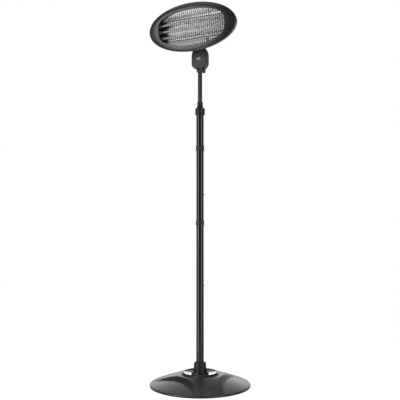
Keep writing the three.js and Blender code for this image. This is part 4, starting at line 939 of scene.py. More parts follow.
@dataclass
class Base(SubAssembly):
    """Pressed cover with its weight, bright plate, pole socket and rubber foot.

    Attributes:
        radius: Outer radius of the cover.
        wall: Thickness of the cover.
        foot_z: Height of the cover's edge over the floor.
        rim_z: Height where the dome starts.
        shoulder_radius: Where the dome meets the raised collar.
        shoulder_z: The dome's height there.
        bulge: Crown of the dome over a straight cone.
        valley: Depth of the small valley between collar and dome.
        collar_radius: Middle of the collar's lip.
        collar_z: Top of the lip.
        lip: Width of the lip.
        plate_radius: Radius of the bright plate.
        plate_top: Top of the plate.
        plate_t: Thickness of the plate.
        plate_flare: How far the plate's turned-up edge leans out.
        plate_drop: From the collar's top down to that edge.
        plate_turn: Width of the band that turns up.
        bore: Radius of the hole in the cover's middle.
        scallops: Number of pressed scallops.
        phase: Direction of the first one, in degrees.
        apex: From the axis to a scallop's arch.
        arc: Plan radius of the arch.
        flank: Width of the steep band along the arch.
        flank_ease: Share of the flank that is rounded; the rest is straight.
        pressed: Share of the dome's height that is pressed away.
        flange_radius: Radius of the socket's flange.
        flange_t: Thickness of the flange.
        sleeve_radius: Radius of the socket's sleeve.
        sleeve_top: Top of the sleeve.
        ribs: Number of ribs on the socket.
        floor_screw_circle: Radius on which the floor plate's screws stand.
        foot_width: Width of the rubber ring.
        groove: Depth and width of a groove in its tread.
    """

    radius: float = 250.0
    wall: float = 2.5
    foot_z: float = 1.0
    rim_z: float = 9.7
    shoulder_radius: float = 105.0
    shoulder_z: float = 59.5
    bulge: float = 2.3
    valley: float = 2.3
    collar_radius: float = 85.0
    collar_z: float = 68.0
    lip: float = 5.0
    plate_radius: float = 79.5
    plate_top: float = 58.0
    plate_t: float = 2.2
    plate_flare: float = 2.3
    plate_drop: float = 2.4
    plate_turn: float = 11.0
    bore: float = 20.0
    scallops: int = 3
    phase: float = -113.5
    apex: float = 113.0
    arc: float = 350.0
    flank: float = 29.0
    flank_ease: float = 0.35
    pressed: float = 0.3
    flange_radius: float = 44.5
    flange_t: float = 7.0
    sleeve_radius: float = 31.7
    sleeve_top: float = 115.0
    ribs: int = 6
    floor_screw_circle: float = 150.0
    foot_width: float = 14.0
    groove: tuple[float, float] = (0.8, 1.2)

    def dome_height(self, radius: np.ndarray) -> np.ndarray:
        """Returns the plain dome's height at a radius."""
        share = (radius - self.shoulder_radius) / (self.radius - self.shoulder_radius)
        cone = self.shoulder_z + (self.rim_z - self.shoulder_z) * share
        return cone + 4 * self.bulge * share * (1 - share)

    def pressed_depth(self, x: np.ndarray, y: np.ndarray) -> np.ndarray:
        """Says how far the cover is pressed down by the arched scallops.

        Args:
            x: Places across.
            y: Places along.

        Returns:
            The depth at each place: a steep straight flank with small roundings, then a flat floor.
        """
        sunk = np.zeros_like(x)
        for i in range(self.scallops):
            turn = math.radians(self.phase) + FULL_TURN * i / self.scallops
            along = x * math.cos(turn) + y * math.sin(turn)
            across = y * math.cos(turn) - x * math.sin(turn)
            inside = self.arc - np.hypot(along - self.apex - self.arc, across)
            share = np.clip(inside / self.flank, 0, 1)
            soft = share * share * (3 - 2 * share)
            sunk = np.maximum(sunk, self.flank_ease * soft + (1 - self.flank_ease) * share)
        height = np.maximum(0, self.dome_height(np.hypot(x, y)) - self.rim_z)
        return sunk * self.pressed * height

    def cover(self) -> None:
        """Builds the pressed cover as one turned shell, pressed by the scallops."""
        recess_z = self.plate_top - self.plate_t - SEAT_GAP
        recess_r = self.plate_radius + SEAT_GAP
        lip_in, lip_out = self.collar_radius - self.lip / 2, self.collar_radius + self.lip / 2
        dome_r = np.linspace(self.shoulder_radius, self.radius - self.wall, 56)
        dome = np.column_stack([dome_r, self.dome_height(dome_r)])
        valley = self.shoulder_z - self.valley
        collar = rounded(
            [
                [self.bore, recess_z], [recess_r, recess_z], [lip_in, self.collar_z - 1.5],
                [self.collar_radius, self.collar_z], [lip_out, self.collar_z - 1],
                [self.shoulder_radius - 8, valley], [self.shoulder_radius + 6, valley], dome[5],
            ],
            [0, 1.2, 0.8, 1.2, 1.2, 4, 5, 0], False, 5,
        )[:-1]
        rim = rounded(
            [dome[-1], [self.radius, self.rim_z - 1.5], [self.radius, self.foot_z],
             [self.radius - self.wall, self.foot_z], dome[-1] - [0, self.wall]],
            [0, 1.5, 0.8, 0.8, 0], False, 4,
        )[1:-1]
        inner = np.array(
            [[lip_in + 1.5, valley - self.wall], [recess_r + self.wall, recess_z - self.wall],
             [self.bore, recess_z - self.wall]]
        )
        under = dome[:8:-4] - [0, self.wall]
        line = np.vstack([collar, dome[5:], rim, under, inner])
        turns = around(512)
        x, y = np.outer(line[:, 0], np.cos(turns)), np.outer(line[:, 0], np.sin(turns))
        z = line[:, 1:] - self.pressed_depth(x, y)
        shell = lofted(np.stack([x, y, z], -1), True)
        self.add("base_shell", shell, GUNMETAL, "base_cover", crease=60)

    def plate(self) -> None:
        """Builds the bright plate in the collar; its edge turns up along the recess's wall."""
        low, edge, top = self.plate_top - self.plate_t, self.plate_radius, self.plate_top
        rim_z, rim_t = self.collar_z - self.plate_drop, 0.9
        profile = [
            [self.bore, low], [edge, low], [edge + self.plate_flare, rim_z],
            [edge + self.plate_flare - rim_t, rim_z + 0.3], [edge - 3.5, top + 1.6],
            [edge - self.plate_turn, top], [self.bore, top],
        ]
        reach = [0.4, 0.6, 0.4, 0.4, 5, 4, 0.4]
        plate = revolved(profile, reach, sides=192)
        self.add("bright_plate", plate, POLISHED_STEEL, "centre_plate")

    def socket(self) -> None:
        """Builds the moulded socket: flange, tapered sleeve and ribs."""
        z = self.plate_top + SEAT_GAP
        top = z + self.flange_t
        bore = span("lower_tube", 0)[1] + SEAT_GAP
        sleeve, high = self.sleeve_radius, self.sleeve_top
        wide = bore - 13  # the foot is opened up round the tie bolt's nut
        body = revolved(
            [
                [bore, z + 6], [bore, high], [sleeve - 4.5, high], [sleeve - 0.7, high - 5],
                [sleeve, top + 2], [self.flange_radius - 1, top], [self.flange_radius, z],
                [wide, z], [wide, z + 6],
            ],
            [0, 0.6, 1.6, 3, 3, 2, 0.6, 0, 0], True, 160,
        )
        outline = np.array(
            [[sleeve - 1.5, top - 1], [self.flange_radius - 4, top - 1], [sleeve - 1.5, high - 16]]
        )
        rib = extruded(outline, -2, 2, 0.8, 0.8, 3).turned("X", 90)
        ribs = ring.shape(BLACK_PLASTIC, Piece=rib, Count=self.ribs, Radius=0.0, First_turn=0.0)
        self.add("socket_moulding", body.joined(ribs), BLACK_PLASTIC, "pole_socket")

    def fasteners(self) -> None:
        """Builds the three screws on the flange and the six under the floor plate."""
        low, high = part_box("socket_screw_1")
        middle = (low + high) / 2
        circle, turn = math.hypot(middle.x, middle.y) / MM, math.atan2(middle.y, middle.x)
        seat = self.plate_top + 2 * SEAT_GAP + self.flange_t
        one = cross_screw(3.6, high.z / MM - seat, 2.2, 20).moved(z=seat)
        three = ring.shape(ZINC, Piece=one, Count=3, Radius=circle, First_turn=turn)
        self.add("flange_screws", three, ZINC, "socket_screw_1", "socket_screw_2", "socket_screw_3")
        plate_z = span("base_floor_plate")[0]
        under = cross_screw(4.2, 1.7, 2.0, 8).turned("X", 180).moved(z=plate_z - 0.1)
        six = ring.shape(
            ZINC, Piece=under, Count=6, Radius=self.floor_screw_circle, First_turn=0.0
        )
        self.add("floor_plate_screws", six, ZINC)

    def foot(self) -> None:
        """Builds the rubber foot ring with two shallow grooves in its tread."""
        outer, top = span("foot_ring", 0)[1], span("foot_ring")[1]
        inner = outer - self.foot_width
        depth, width = self.groove
        tread = [[inner, 1], [inner + 1, 0]]
        for groove in (inner + 4, inner + 9):
            tread += [[groove, 0], [groove, depth], [groove + width, depth], [groove + width, 0]]
        profile = [*tread, [outer - 1, 0], [outer, 1], [outer, top], [inner, top]]
        foot = revolved(profile, 0.25, sides=256, steps=2)
        self.add("rubber_foot", foot, RUBBER, "foot_ring")

    def build(self) -> None:
        """Builds and dresses the whole base."""
        self.cover()
        self.plate()
        self.socket()
        self.fasteners()
        self.foot()
        self.dress(CAST_IRON, "base_ballast")
        self.dress(SATIN_BLACK, "base_floor_plate")
        self.dress(ZINC, "tie_bolt", "tube_plug")


# ------------------------------------------------------------------ pole and twist lock


@dataclass
class Pole(SubAssembly):
    """Three lengths of pole with their joint screws, cable clips and twist lock.

    Attributes:
        wall: Thickness of the tubes.
        seam_screw_turn: Direction of the joint screws, in degrees from +X.
        clip_wall: Thickness of a clip's band.
        hook_bore: Inner radius of a cable hook.
        hook_wall: Thickness of a cable hook.
        hook_mouth: Width of the hook's mouth.
        nut_radius: Outer radius of the hand nut.
        nut_grip: Height of its gripped part.
        nut_nose: Radius of its nose, low down and at the top.
        nut_play: Gap between the rod and the nose's bore.
        flutes: Number of flutes round the hand nut.
        flute_radius: Radius of a flute.
    """

    wall: float = 1.5
    seam_screw_turn: float = 25.0
    clip_wall: float = 1.6
    hook_bore: float = 4.6
    hook_wall: float = 1.8
    hook_mouth: float = 5.0
    nut_radius: float = 24.8
    nut_grip: float = 33.0
    nut_nose: tuple[float, float] = (16.5, 14.6)
    nut_play: float = 1.7
    flutes: int = 12
    flute_radius: float = 1.6

    def tubes(self) -> None:
        """Builds the three enamelled tubes with rolled edges at the seams."""
        for name in ("lower_tube", "middle_tube", "upper_tube"):
            low, high = span(name)
            outer = span(name, 0)[1]
            tube = barrel(outer, outer - self.wall, low, high, 0.5, 160)
            self.add(name.replace("tube", "pole_length"), tube, GLOSS_BLACK, name)

    def joint_screws(self) -> None:
        """Builds the button-head screw under each seam."""
        radius = span("lower_tube", 0)[1] + SEAT_GAP
        for place in ("lower", "upper"):
            low, high = span(f"joiner_screw_{place}")
            one = cross_screw(3.4, 1.8, 2.0, 4.7).turned("Y", 90)
            seated = one.moved(x=radius).turned("Z", self.seam_screw_turn).moved(z=(low + high) / 2)
            self.add(f"seam_screw_{place}", seated, ZINC, f"joiner_screw_{place}")

    def clips(self) -> None:
        """Builds the two snap bands with an open hook for the cable at the back."""
        inner = span("lower_tube", 0)[1] + SEAT_GAP
        hook_y = inner + self.clip_wall + self.hook_bore
        for place in ("lower", "upper"):
            low, high = span(f"cable_clip_{place}")
            band = barrel(inner + self.clip_wall, inner, low, high, 0.0, 96)
            hook = barrel(self.hook_bore + self.hook_wall, self.hook_bore, low, high, 0.0, 48)
            mouth = block(
                [-self.hook_mouth / 2, hook_y + self.hook_bore * 0.6, low - 1],
                [self.hook_mouth / 2, hook_y + 12, high + 1],
            )
            bore = rod(inner, low - 1, high + 1, sides=96)
            clip = softened(band.joined(hook.moved(y=hook_y)).cut(mouth, bore), 0.4)
            self.add(f"cable_hook_{place}", clip, BLACK_PLASTIC, f"cable_clip_{place}")

    def hand_nut(self) -> None:
        """Builds the fluted hand nut of the twist lock."""
        low, high = span("lock_nut")
        outer, shoulder, (neck, nose) = self.nut_radius, low + self.nut_grip, self.nut_nose
        bore = span("mast_ferrule", 0)[1] + SEAT_GAP
        inner = span("mast_rod", 0)[1] + self.nut_play
        body = revolved(
            [
                [bore, low], [outer, low], [outer, shoulder - 1], [neck, shoulder + 3],
                [nose, high - 18],
                [nose, high], [inner, high], [inner, shoulder + 3.5], [bore, shoulder - 2.5],
            ],
            [0, 1.2, 2.5, 2.5, 6, 1.5, 0, 0, 0], True, 192, 5,
        )
        flute = rod(self.flute_radius, low + 5, shoulder - 5, 1.4, 24)
        cuts = ring.shape(
            BLACK_PLASTIC, Piece=flute, Count=self.flutes, Radius=outer + 0.9, First_turn=0.0
        )
        self.add(
            "hand_nut", body.cut(cuts), BLACK_PLASTIC, "lock_nut", body="lock_nut_body"
        )

    def build(self) -> None:
        """Builds and dresses the pole and the twist lock."""
        self.tubes()
        self.joint_screws()
        self.clips()
        self.hand_nut()
        self.dress(ZINC, "tube_joiner_lower", "tube_joiner_upper", "mast_ferrule")
        self.dress(BLACK_PLASTIC, "clamp_collet")


# ------------------------------------------------------------------ rod and tilt pivot


@dataclass
class Mast(SubAssembly):
    """Telescopic rod with its eye, the tilt bolt and the hand knob.

    Attributes:
        wall: Thickness of the rod.
        eye_radius: Radius of the cast eye.
        eye_width: Width of the eye.
        bolt_radius: Radius of the tilt bolt.
        bolt_head: Height of its head.
        knob_radius: Radius of the knob over its lobes.
        knob_lobes: Number of lobes.
        knob_lobe: Half a lobe's height over the hollows between them.
        knob_hub: Height of the knob's hub.
    """

    body: ClassVar[str] = "mast"
    wall: float = 1.5
    eye_radius: float = 9.0
    eye_width: float = 19.0
    bolt_radius: float = 3.0
    bolt_head: float = 3.6
    knob_radius: float = 14.0
    knob_lobes: int = 8
    knob_lobe: float = 0.7
    knob_hub: float = 2.4

    def rod(self) -> None:
        """Builds the satin rod and its cast eye."""
        low, high = span("mast_rod")
        outer = span("mast_rod", 0)[1]
        tube = barrel(outer, outer - self.wall, low, high, 0.4, 128)
        self.add("slide_rod", tube, SATIN_BLACK, "mast_rod")
        half, collar = self.eye_width / 2, high + SEAT_GAP
        pivot = self.pivot()
        neck = rod(outer, collar, pivot - 3, 0.4, 96)
        eye = rod(self.eye_radius, -half, half, 0.8, 96).turned("Y", 90).moved(z=pivot)
        cheeks = block([-half, -outer, collar - 30], [half, outer, pivot + self.eye_radius + 1])
        plug = rod(outer - self.wall - SEAT_GAP, high - 28, collar + 1)
        bore = rod(self.bolt_radius + SEAT_GAP, -half - 1, half + 1).turned("Y", 90).moved(z=pivot)
        whole = neck.joined(eye).shared(cheeks).joined(plug).cut(bore)
        self.add("rod_eye", whole, SATIN_BLACK, "rod_knuckle")

    @staticmethod
    def pivot() -> float:
        """Returns the height of the tilt axis."""
        low, high = span("tilt_bolt")
        return (low + high) / 2

    def bolt(self) -> None:
        """Builds the hexagon bolt: a chamfered head on the left, its shank through both ears."""
        left, right = span("tilt_bolt", 0)
        across = span("tilt_bolt")[1] - self.pivot()
        corners = ellipse(around(6), across, across)
        hexagon = extruded(rounded(corners, 0.5, steps=2), 0, self.bolt_head, 0.7, 0.0, 3)
        shank = rod(self.bolt_radius, self.bolt_head - 1, right - left, 0.6, 48)
        bolt = hexagon.joined(shank).turned("Z", 90).turned("Y", 90)
        placed = bolt.moved(x=left, z=self.pivot())
        self.add("hexagon_bolt", placed, ZINC, "tilt_bolt", body="head")

    def knob(self) -> None:
        """Builds the lobed hand knob that clamps the tilt."""
        left, right = span("tilt_knob", 0)
        turns = around(160)
        lobe, height = self.knob_lobe, right - left
        radius = self.knob_radius - lobe + lobe * np.cos(self.knob_lobes * turns)
        outline = ellipse(turns, radius, radius)
        grip = extruded(outline, self.knob_hub, height, 1.2, 2.4, 6)
        hub = revolved([[7.3, 0], [7.3, self.knob_hub + 1]], 0.0, False, 64)
        dish = revolved([[6.2, height - 0.8], [7.4, height + 1]], 0.0, False, 64)
        bore = rod(self.bolt_radius + SEAT_GAP, -1, height - 2)
        placed = grip.joined(hub).cut(bore, dish).turned("Y", 90).moved(x=left, z=self.pivot())
        self.add("hand_knob", placed, BLACK_PLASTIC, "tilt_knob", body="tilt_knob_body")

    def build(self) -> None:
        """Builds and dresses the rod and the pivot."""
        self.rod()
        self.bolt()
        self.knob()
        self.dress(BLACK_PLASTIC, "rod_guide_bush")
        self.dress(RUBBER, "friction_washer_left", "friction_washer_right")


# ------------------------------------------------------------------ the head's own frame


@dataclass(frozen=True)
class HeadPlace:
    """Where the head sits: its face's middle and its tilt.

    Pieces are drawn lying on their back: X across, Y up the face, +Z out of it, the rim at z = 0.

    Attributes:
        y: The middle of the rim's plane, along Y.
        z: Its height.
        tilt: Degrees that the face looks down.
        back: From the rim's plane to the housing's back.
        mount_x: The two mounting screws, on either side of the middle.
        mount_up: Their place up the back from its middle.
    """

    y: float = -106.0
    z: float = 1783.0
    tilt: float = 11.0
    back: float = 66.0
    mount_x: float = 15.0
    mount_up: float = -46.0

    def set(self, shape: Shape) -> Shape:
        """Stands a shape of the head up in its place."""
        return shape.turned("X", 90 + self.tilt).moved(y=self.y, z=self.z)

    def behind(self, up: float, gap: float) -> list[float]:
        """Returns the point [y, z] at a height up the head's back and a gap behind it."""
        turn = math.radians(self.tilt)
        reach = self.back + gap
        return [
            self.y - up * math.sin(turn) + reach * math.cos(turn),
            self.z + up * math.cos(turn) + reach * math.sin(turn),
        ]

    def on_back(self, shape: Shape, x: float, up: float) -> Shape:
        """Places a shape drawn about Z on the head's back, with +Z out of it."""
        y, z = self.behind(up, 0)
        return shape.turned("X", self.tilt - 90).moved(x, y, z)


# ------------------------------------------------------------------ neck


@dataclass
class Neck(SubAssembly):
    """Moulded neck with its badge, rear cover, gland and fasteners.

    Attributes:
        place: Where the head sits.
        half_width: Half the neck's width.
        chin_half: Half the flat at the bottom.
        low_z: Bottom of the outline.
        chin_h: Height of the rounded lower corners.
        dome_z: Where the sides turn into the rounded top.
        dome_h: Height of that top.
        wall: Thickness of the moulding.
        edge: Rounding round the front face.
        front_y: The front face.
        back_y: The open back.
        pad_half: Half the width of the tongue that carries the head.
        pad_t: Thickness of the tongue's pad.
        pad_low: Lower end of the pad, up the head's back from its middle.
        pad_high: Upper end of the pad.
        ear_radius: Rounding of the two ears.
        ear_t: Thickness of an ear.
        ear_x: Inner face of each ear.
        badge_z: Height of the badge.
        badge_half: Half the badge's width and height.
        badge_rim: Width of the badge's raised rim.
        gland_z: Height of the cable gland.
        gland_bore: Radius of the hole that a cable would take.
        outlet_z: Height of the pull cord's outlet.
        mount_hole: Radii of the mounting screws' holes, for the shank and for the head.
        bolt_hole: Radius of the hole for the tilt bolt.
        knob_gap: Round the tilt knob.
        lid_screw_x: The rear cover's screws, on either side of the middle.
        grip: Half the length, depth and half the width of a groove in the rear cover.
        grip_pitch: From one groove to the next.
    """

    body: ClassVar[str] = "head"
    place: HeadPlace = HeadPlace()
    half_width: float = 41.5
    chin_half: float = 16.0
    low_z: float = 1594.0
    chin_h: float = 27.0
    dome_z: float = 1660.0
    dome_h: float = 56.0
    wall: float = 3.0
    edge: float = 5.0
    front_y: float = -18.0
    back_y: float = 15.5
    pad_half: float = 24.0
    pad_t: float = 10.0
    pad_low: float = -76.0
    pad_high: float = -22.0
    ear_radius: float = 8.5
    ear_t: float = 3.2
    ear_x: float = 10.6
    badge_z: float = 1647.0
    badge_half: tuple[float, float] = (11.5, 6.5)
    badge_rim: float = 1.4
    gland_z: float = 1622.0
    gland_bore: float = 3.6
    outlet_z: float = 1644.0
    mount_hole: tuple[float, float] = (2.8, 4.8)
    bolt_hole: float = 3.3
    knob_gap: float = 1.5
    lid_screw_x: float = 35.5
    grip: tuple[float, float, float] = (26.0, 0.7, 0.8)
    grip_pitch: float = 5.5

    def outline(self, wall: float = 0.0, steps: int = 28) -> np.ndarray:
        """Draws the neck's outline in X and Z: a rounded chin, straight sides and an oval top.

        Args:
            wall: How far the outline is drawn in.
            steps: Points of each curve.

        Returns:
            The outline, counter-clockwise.
        """
        width, chin, low = self.half_width - wall, self.chin_half - wall / 2, self.low_z + wall
        start, end = np.array([chin, low]), np.array([width, self.low_z + self.chin_h])
        corner = np.array([width * 0.85, low + self.chin_h * 0.22])
        t = np.linspace(0, 1, steps)[:, None]
        right = (1 - t) ** 2 * start + 2 * t * (1 - t) * corner + t * t * end
        turns = np.linspace(0, math.pi, 2 * steps)
        top = ellipse(turns, width, self.dome_h - wall) + [0, self.dome_z]
        left = right[::-1] * [-1, 1]
        return np.vstack([right, top, left])

    @staticmethod
    def deepened(
        outline: np.ndarray, y0: float, y1: float, front: float = 0, back: float = 0
    ) -> Shape:
        """Extrudes an outline in X and Z from y0 at the front to y1, with rounded faces."""
        return extruded(outline, -y1, -y0, back, front, 8).turned("X", 90)

    def tongue(self) -> Shape:
        """Returns the tongue that follows the tilted back of the head."""
        root = self.dome_z + self.dome_h * 0.7
        profile = np.array(
            [
                [self.front_y + self.wall, root], [self.back_y - 2 * self.wall, root],
                self.place.behind(self.pad_high, SEAT_GAP + self.pad_t),
                self.place.behind(self.pad_high, SEAT_GAP),
                self.place.behind(self.pad_low, SEAT_GAP),
            ]
        )
        return extruded(profile, -self.pad_half, self.pad_half).crossways()

    def ears(self) -> Shape:
        """Returns the block below the neck that the slot parts into two ears."""
        pivot = Mast.pivot()
        arc = np.linspace(math.pi, FULL_TURN, 32)
        top = self.low_z + self.wall + 2 - pivot
        lower = ellipse(arc, self.ear_radius, self.ear_radius)
        upper = [[self.back_y - self.edge, top], [-self.back_y + self.edge, top]]
        outer = self.ear_x + self.ear_t
        raised = extruded(np.vstack([lower, upper]), -outer, outer + 1, 0.8)
        return raised.crossways().moved(z=pivot)

    def housing(self) -> None:
        """Builds the moulded housing."""
        pivot = Mast.pivot()
        blank = self.deepened(self.outline(), self.front_y, self.back_y, self.edge)
        hollow = self.deepened(self.outline(self.wall), self.front_y + self.wall, self.back_y + 1)
        knob_r = span("tilt_knob")[1] - pivot + self.knob_gap
        floor_z = pivot + knob_r + self.wall
        floor = block([-FAR, self.front_y - 1, self.low_z - 1], [FAR, self.back_y + 2, floor_z])
        slot = block([-self.ear_x, -FAR, pivot - 30], [self.ear_x, FAR, pivot + 12])
        outer = self.ear_x + self.ear_t
        bolt = rod(self.bolt_hole, -outer - 3, outer + 3).turned("Y", 90).moved(z=pivot)
        knob = rod(knob_r, outer, span("tilt_knob", 0)[1] + 3, 0, 96)
        knob = knob.turned("Y", 90).moved(z=pivot)
        seat = self.front_y + 0.6 + SEAT_GAP
        recess = self.deepened(self.badge_oval(SEAT_GAP), self.front_y - FAR, seat)
        shank = rod(self.mount_hole[0], -2, self.pad_t + 1)
        head = rod(self.mount_hole[1], SEAT_GAP + self.pad_t, self.pad_t + 40)
        x, up = self.place.mount_x, self.place.mount_up
        pads = [self.place.on_back(hole, way * x, up) for way in (-1, 1) for hole in (shank, head)]
        whole = blank.cut(hollow.cut(floor)).joined(self.tongue(), self.ears())
        moulding = softened(whole.cut(slot, knob, bolt, recess, *pads), 0.35, 55)
        self.add("neck_moulding", moulding, TEXTURED_PLASTIC, "neck_housing", crease=40)

    def badge_oval(self, gap: float = 0.0) -> np.ndarray:
        """Returns the badge's outline in X and Z, with a gap round it."""
        half_x, half_z = self.badge_half
        return ellipse(around(96), half_x + gap, half_z + gap) + [0, self.badge_z]

    def badge(self) -> None:
        """Builds the bare oval badge plate with a raised rim."""
        low, high = span("badge_plate", 1)
        oval = self.badge_oval()
        dish = inset(oval, self.badge_rim)
        plate = self.deepened(oval, low, high, 0.35)
        sunk = self.deepened(dish, low - 1, low + 0.3)
        self.add("oval_badge", plate.cut(sunk), BRUSHED_NICKEL, "badge_plate")

    def rear(self) -> None:
        """Builds the rear cover with its four screws, the gland's hole and the pull cord's outlet.
        """
        front = self.back_y + SEAT_GAP
        back = span("neck_rear_cover", 1)[1]
        plate = self.deepened(self.outline(), front, back, 0, 1.8)
        gland_hole = rod(5.3, -FAR, FAR).turned("X", 90).moved(z=self.gland_z)
        outlet = rod(2.2, -FAR, FAR).turned("X", 90).moved(z=self.outlet_z)
        reach, depth, half = self.grip
        grooves = [
            block([-reach, back - depth, z - half], [reach, back + 5, z + half])
            for z in np.arange(self.dome_z + 4, self.dome_z + 32, self.grip_pitch)
        ]
        cover = softened(plate.cut(gland_hole, outlet, *grooves), 0.25, 55)
        self.add("rear_lid", cover, TEXTURED_PLASTIC, "neck_rear_cover", crease=40)
        proud, x = back + 0.05, self.lid_screw_x
        bush = barrel(3.4, 1.5, 0, 1.4, 0.5, 48).turned("X", -90)
        self.add("pull_cord_bush", bush.moved(y=proud, z=self.outlet_z), BLACK_PLASTIC)
        one = cross_screw(3.0, 1.8, 1.5, 12).turned("X", -90)
        low, high = (
            row.shape(
                ZINC, Piece=one, Count=2, Start=(-x * MM, proud * MM, z * MM),
                Step=(2 * x * MM, 0, 0),
            )
            for z in (self.low_z + self.chin_h + 6, self.dome_z + 12)
        )
        self.add("rear_lid_screws", low + high, ZINC)

    def gland(self) -> None:
        """Builds the cable gland: a flange and a ribbed clamping nut."""
        inside, outside = span("cable_gland", 1)
        back = span("neck_rear_cover", 1)[1]
        bore, shank, nut = self.gland_bore, 5.0, 6.5
        body = revolved(
            [
                [bore, inside], [5.8, inside], [5.8, inside + 1.5], [shank, inside + 1.5],
                [shank, back + SEAT_GAP], [nut, back + SEAT_GAP], [nut, back + 3.2],
                [5.4, back + 3.8], [shank, outside], [bore, outside],
            ],
            [0, 0.3, 0.2, 0, 0, 0.3, 0.5, 0.3, 0.8, 0.4], True, 96,
        )
        groove = rod(0.35, back + 0.9, back + 3, 0, 10)
        grooves = ring.shape(
            BLACK_PLASTIC, Piece=groove, Count=24, Radius=nut + 0.1, First_turn=0.0
        )
        gland = body.cut(grooves).turned("X", -90).moved(z=self.gland_z)
        self.add("gland_nut", gland, BLACK_PLASTIC, "cable_gland")

    def mounts(self) -> None:
        """Builds the two screws that hold the head on the tongue."""
        one = cross_screw(4.5, 2.6, 2.5, 20).moved(z=self.pad_t + 2 * SEAT_GAP)
        x, up = self.place.mount_x, self.place.mount_up
        both = self.place.on_back(one, -x, up) + self.place.on_back(one, x, up)
        self.add("head_screws", both, ZINC, "neck_mount_screw_left", "neck_mount_screw_right")

    def build(self) -> None:
        """Builds and dresses the whole neck."""
        self.housing()
        self.badge()
        self.rear()
        self.gland()
        self.mounts()
        self.dress(GREY_PLASTIC, "selector_switch")
        self.dress(STEATITE, "terminal_block")
        self.dress(BLACK_PLASTIC, "tip_over_switch")


# ------------------------------------------------------------------ head

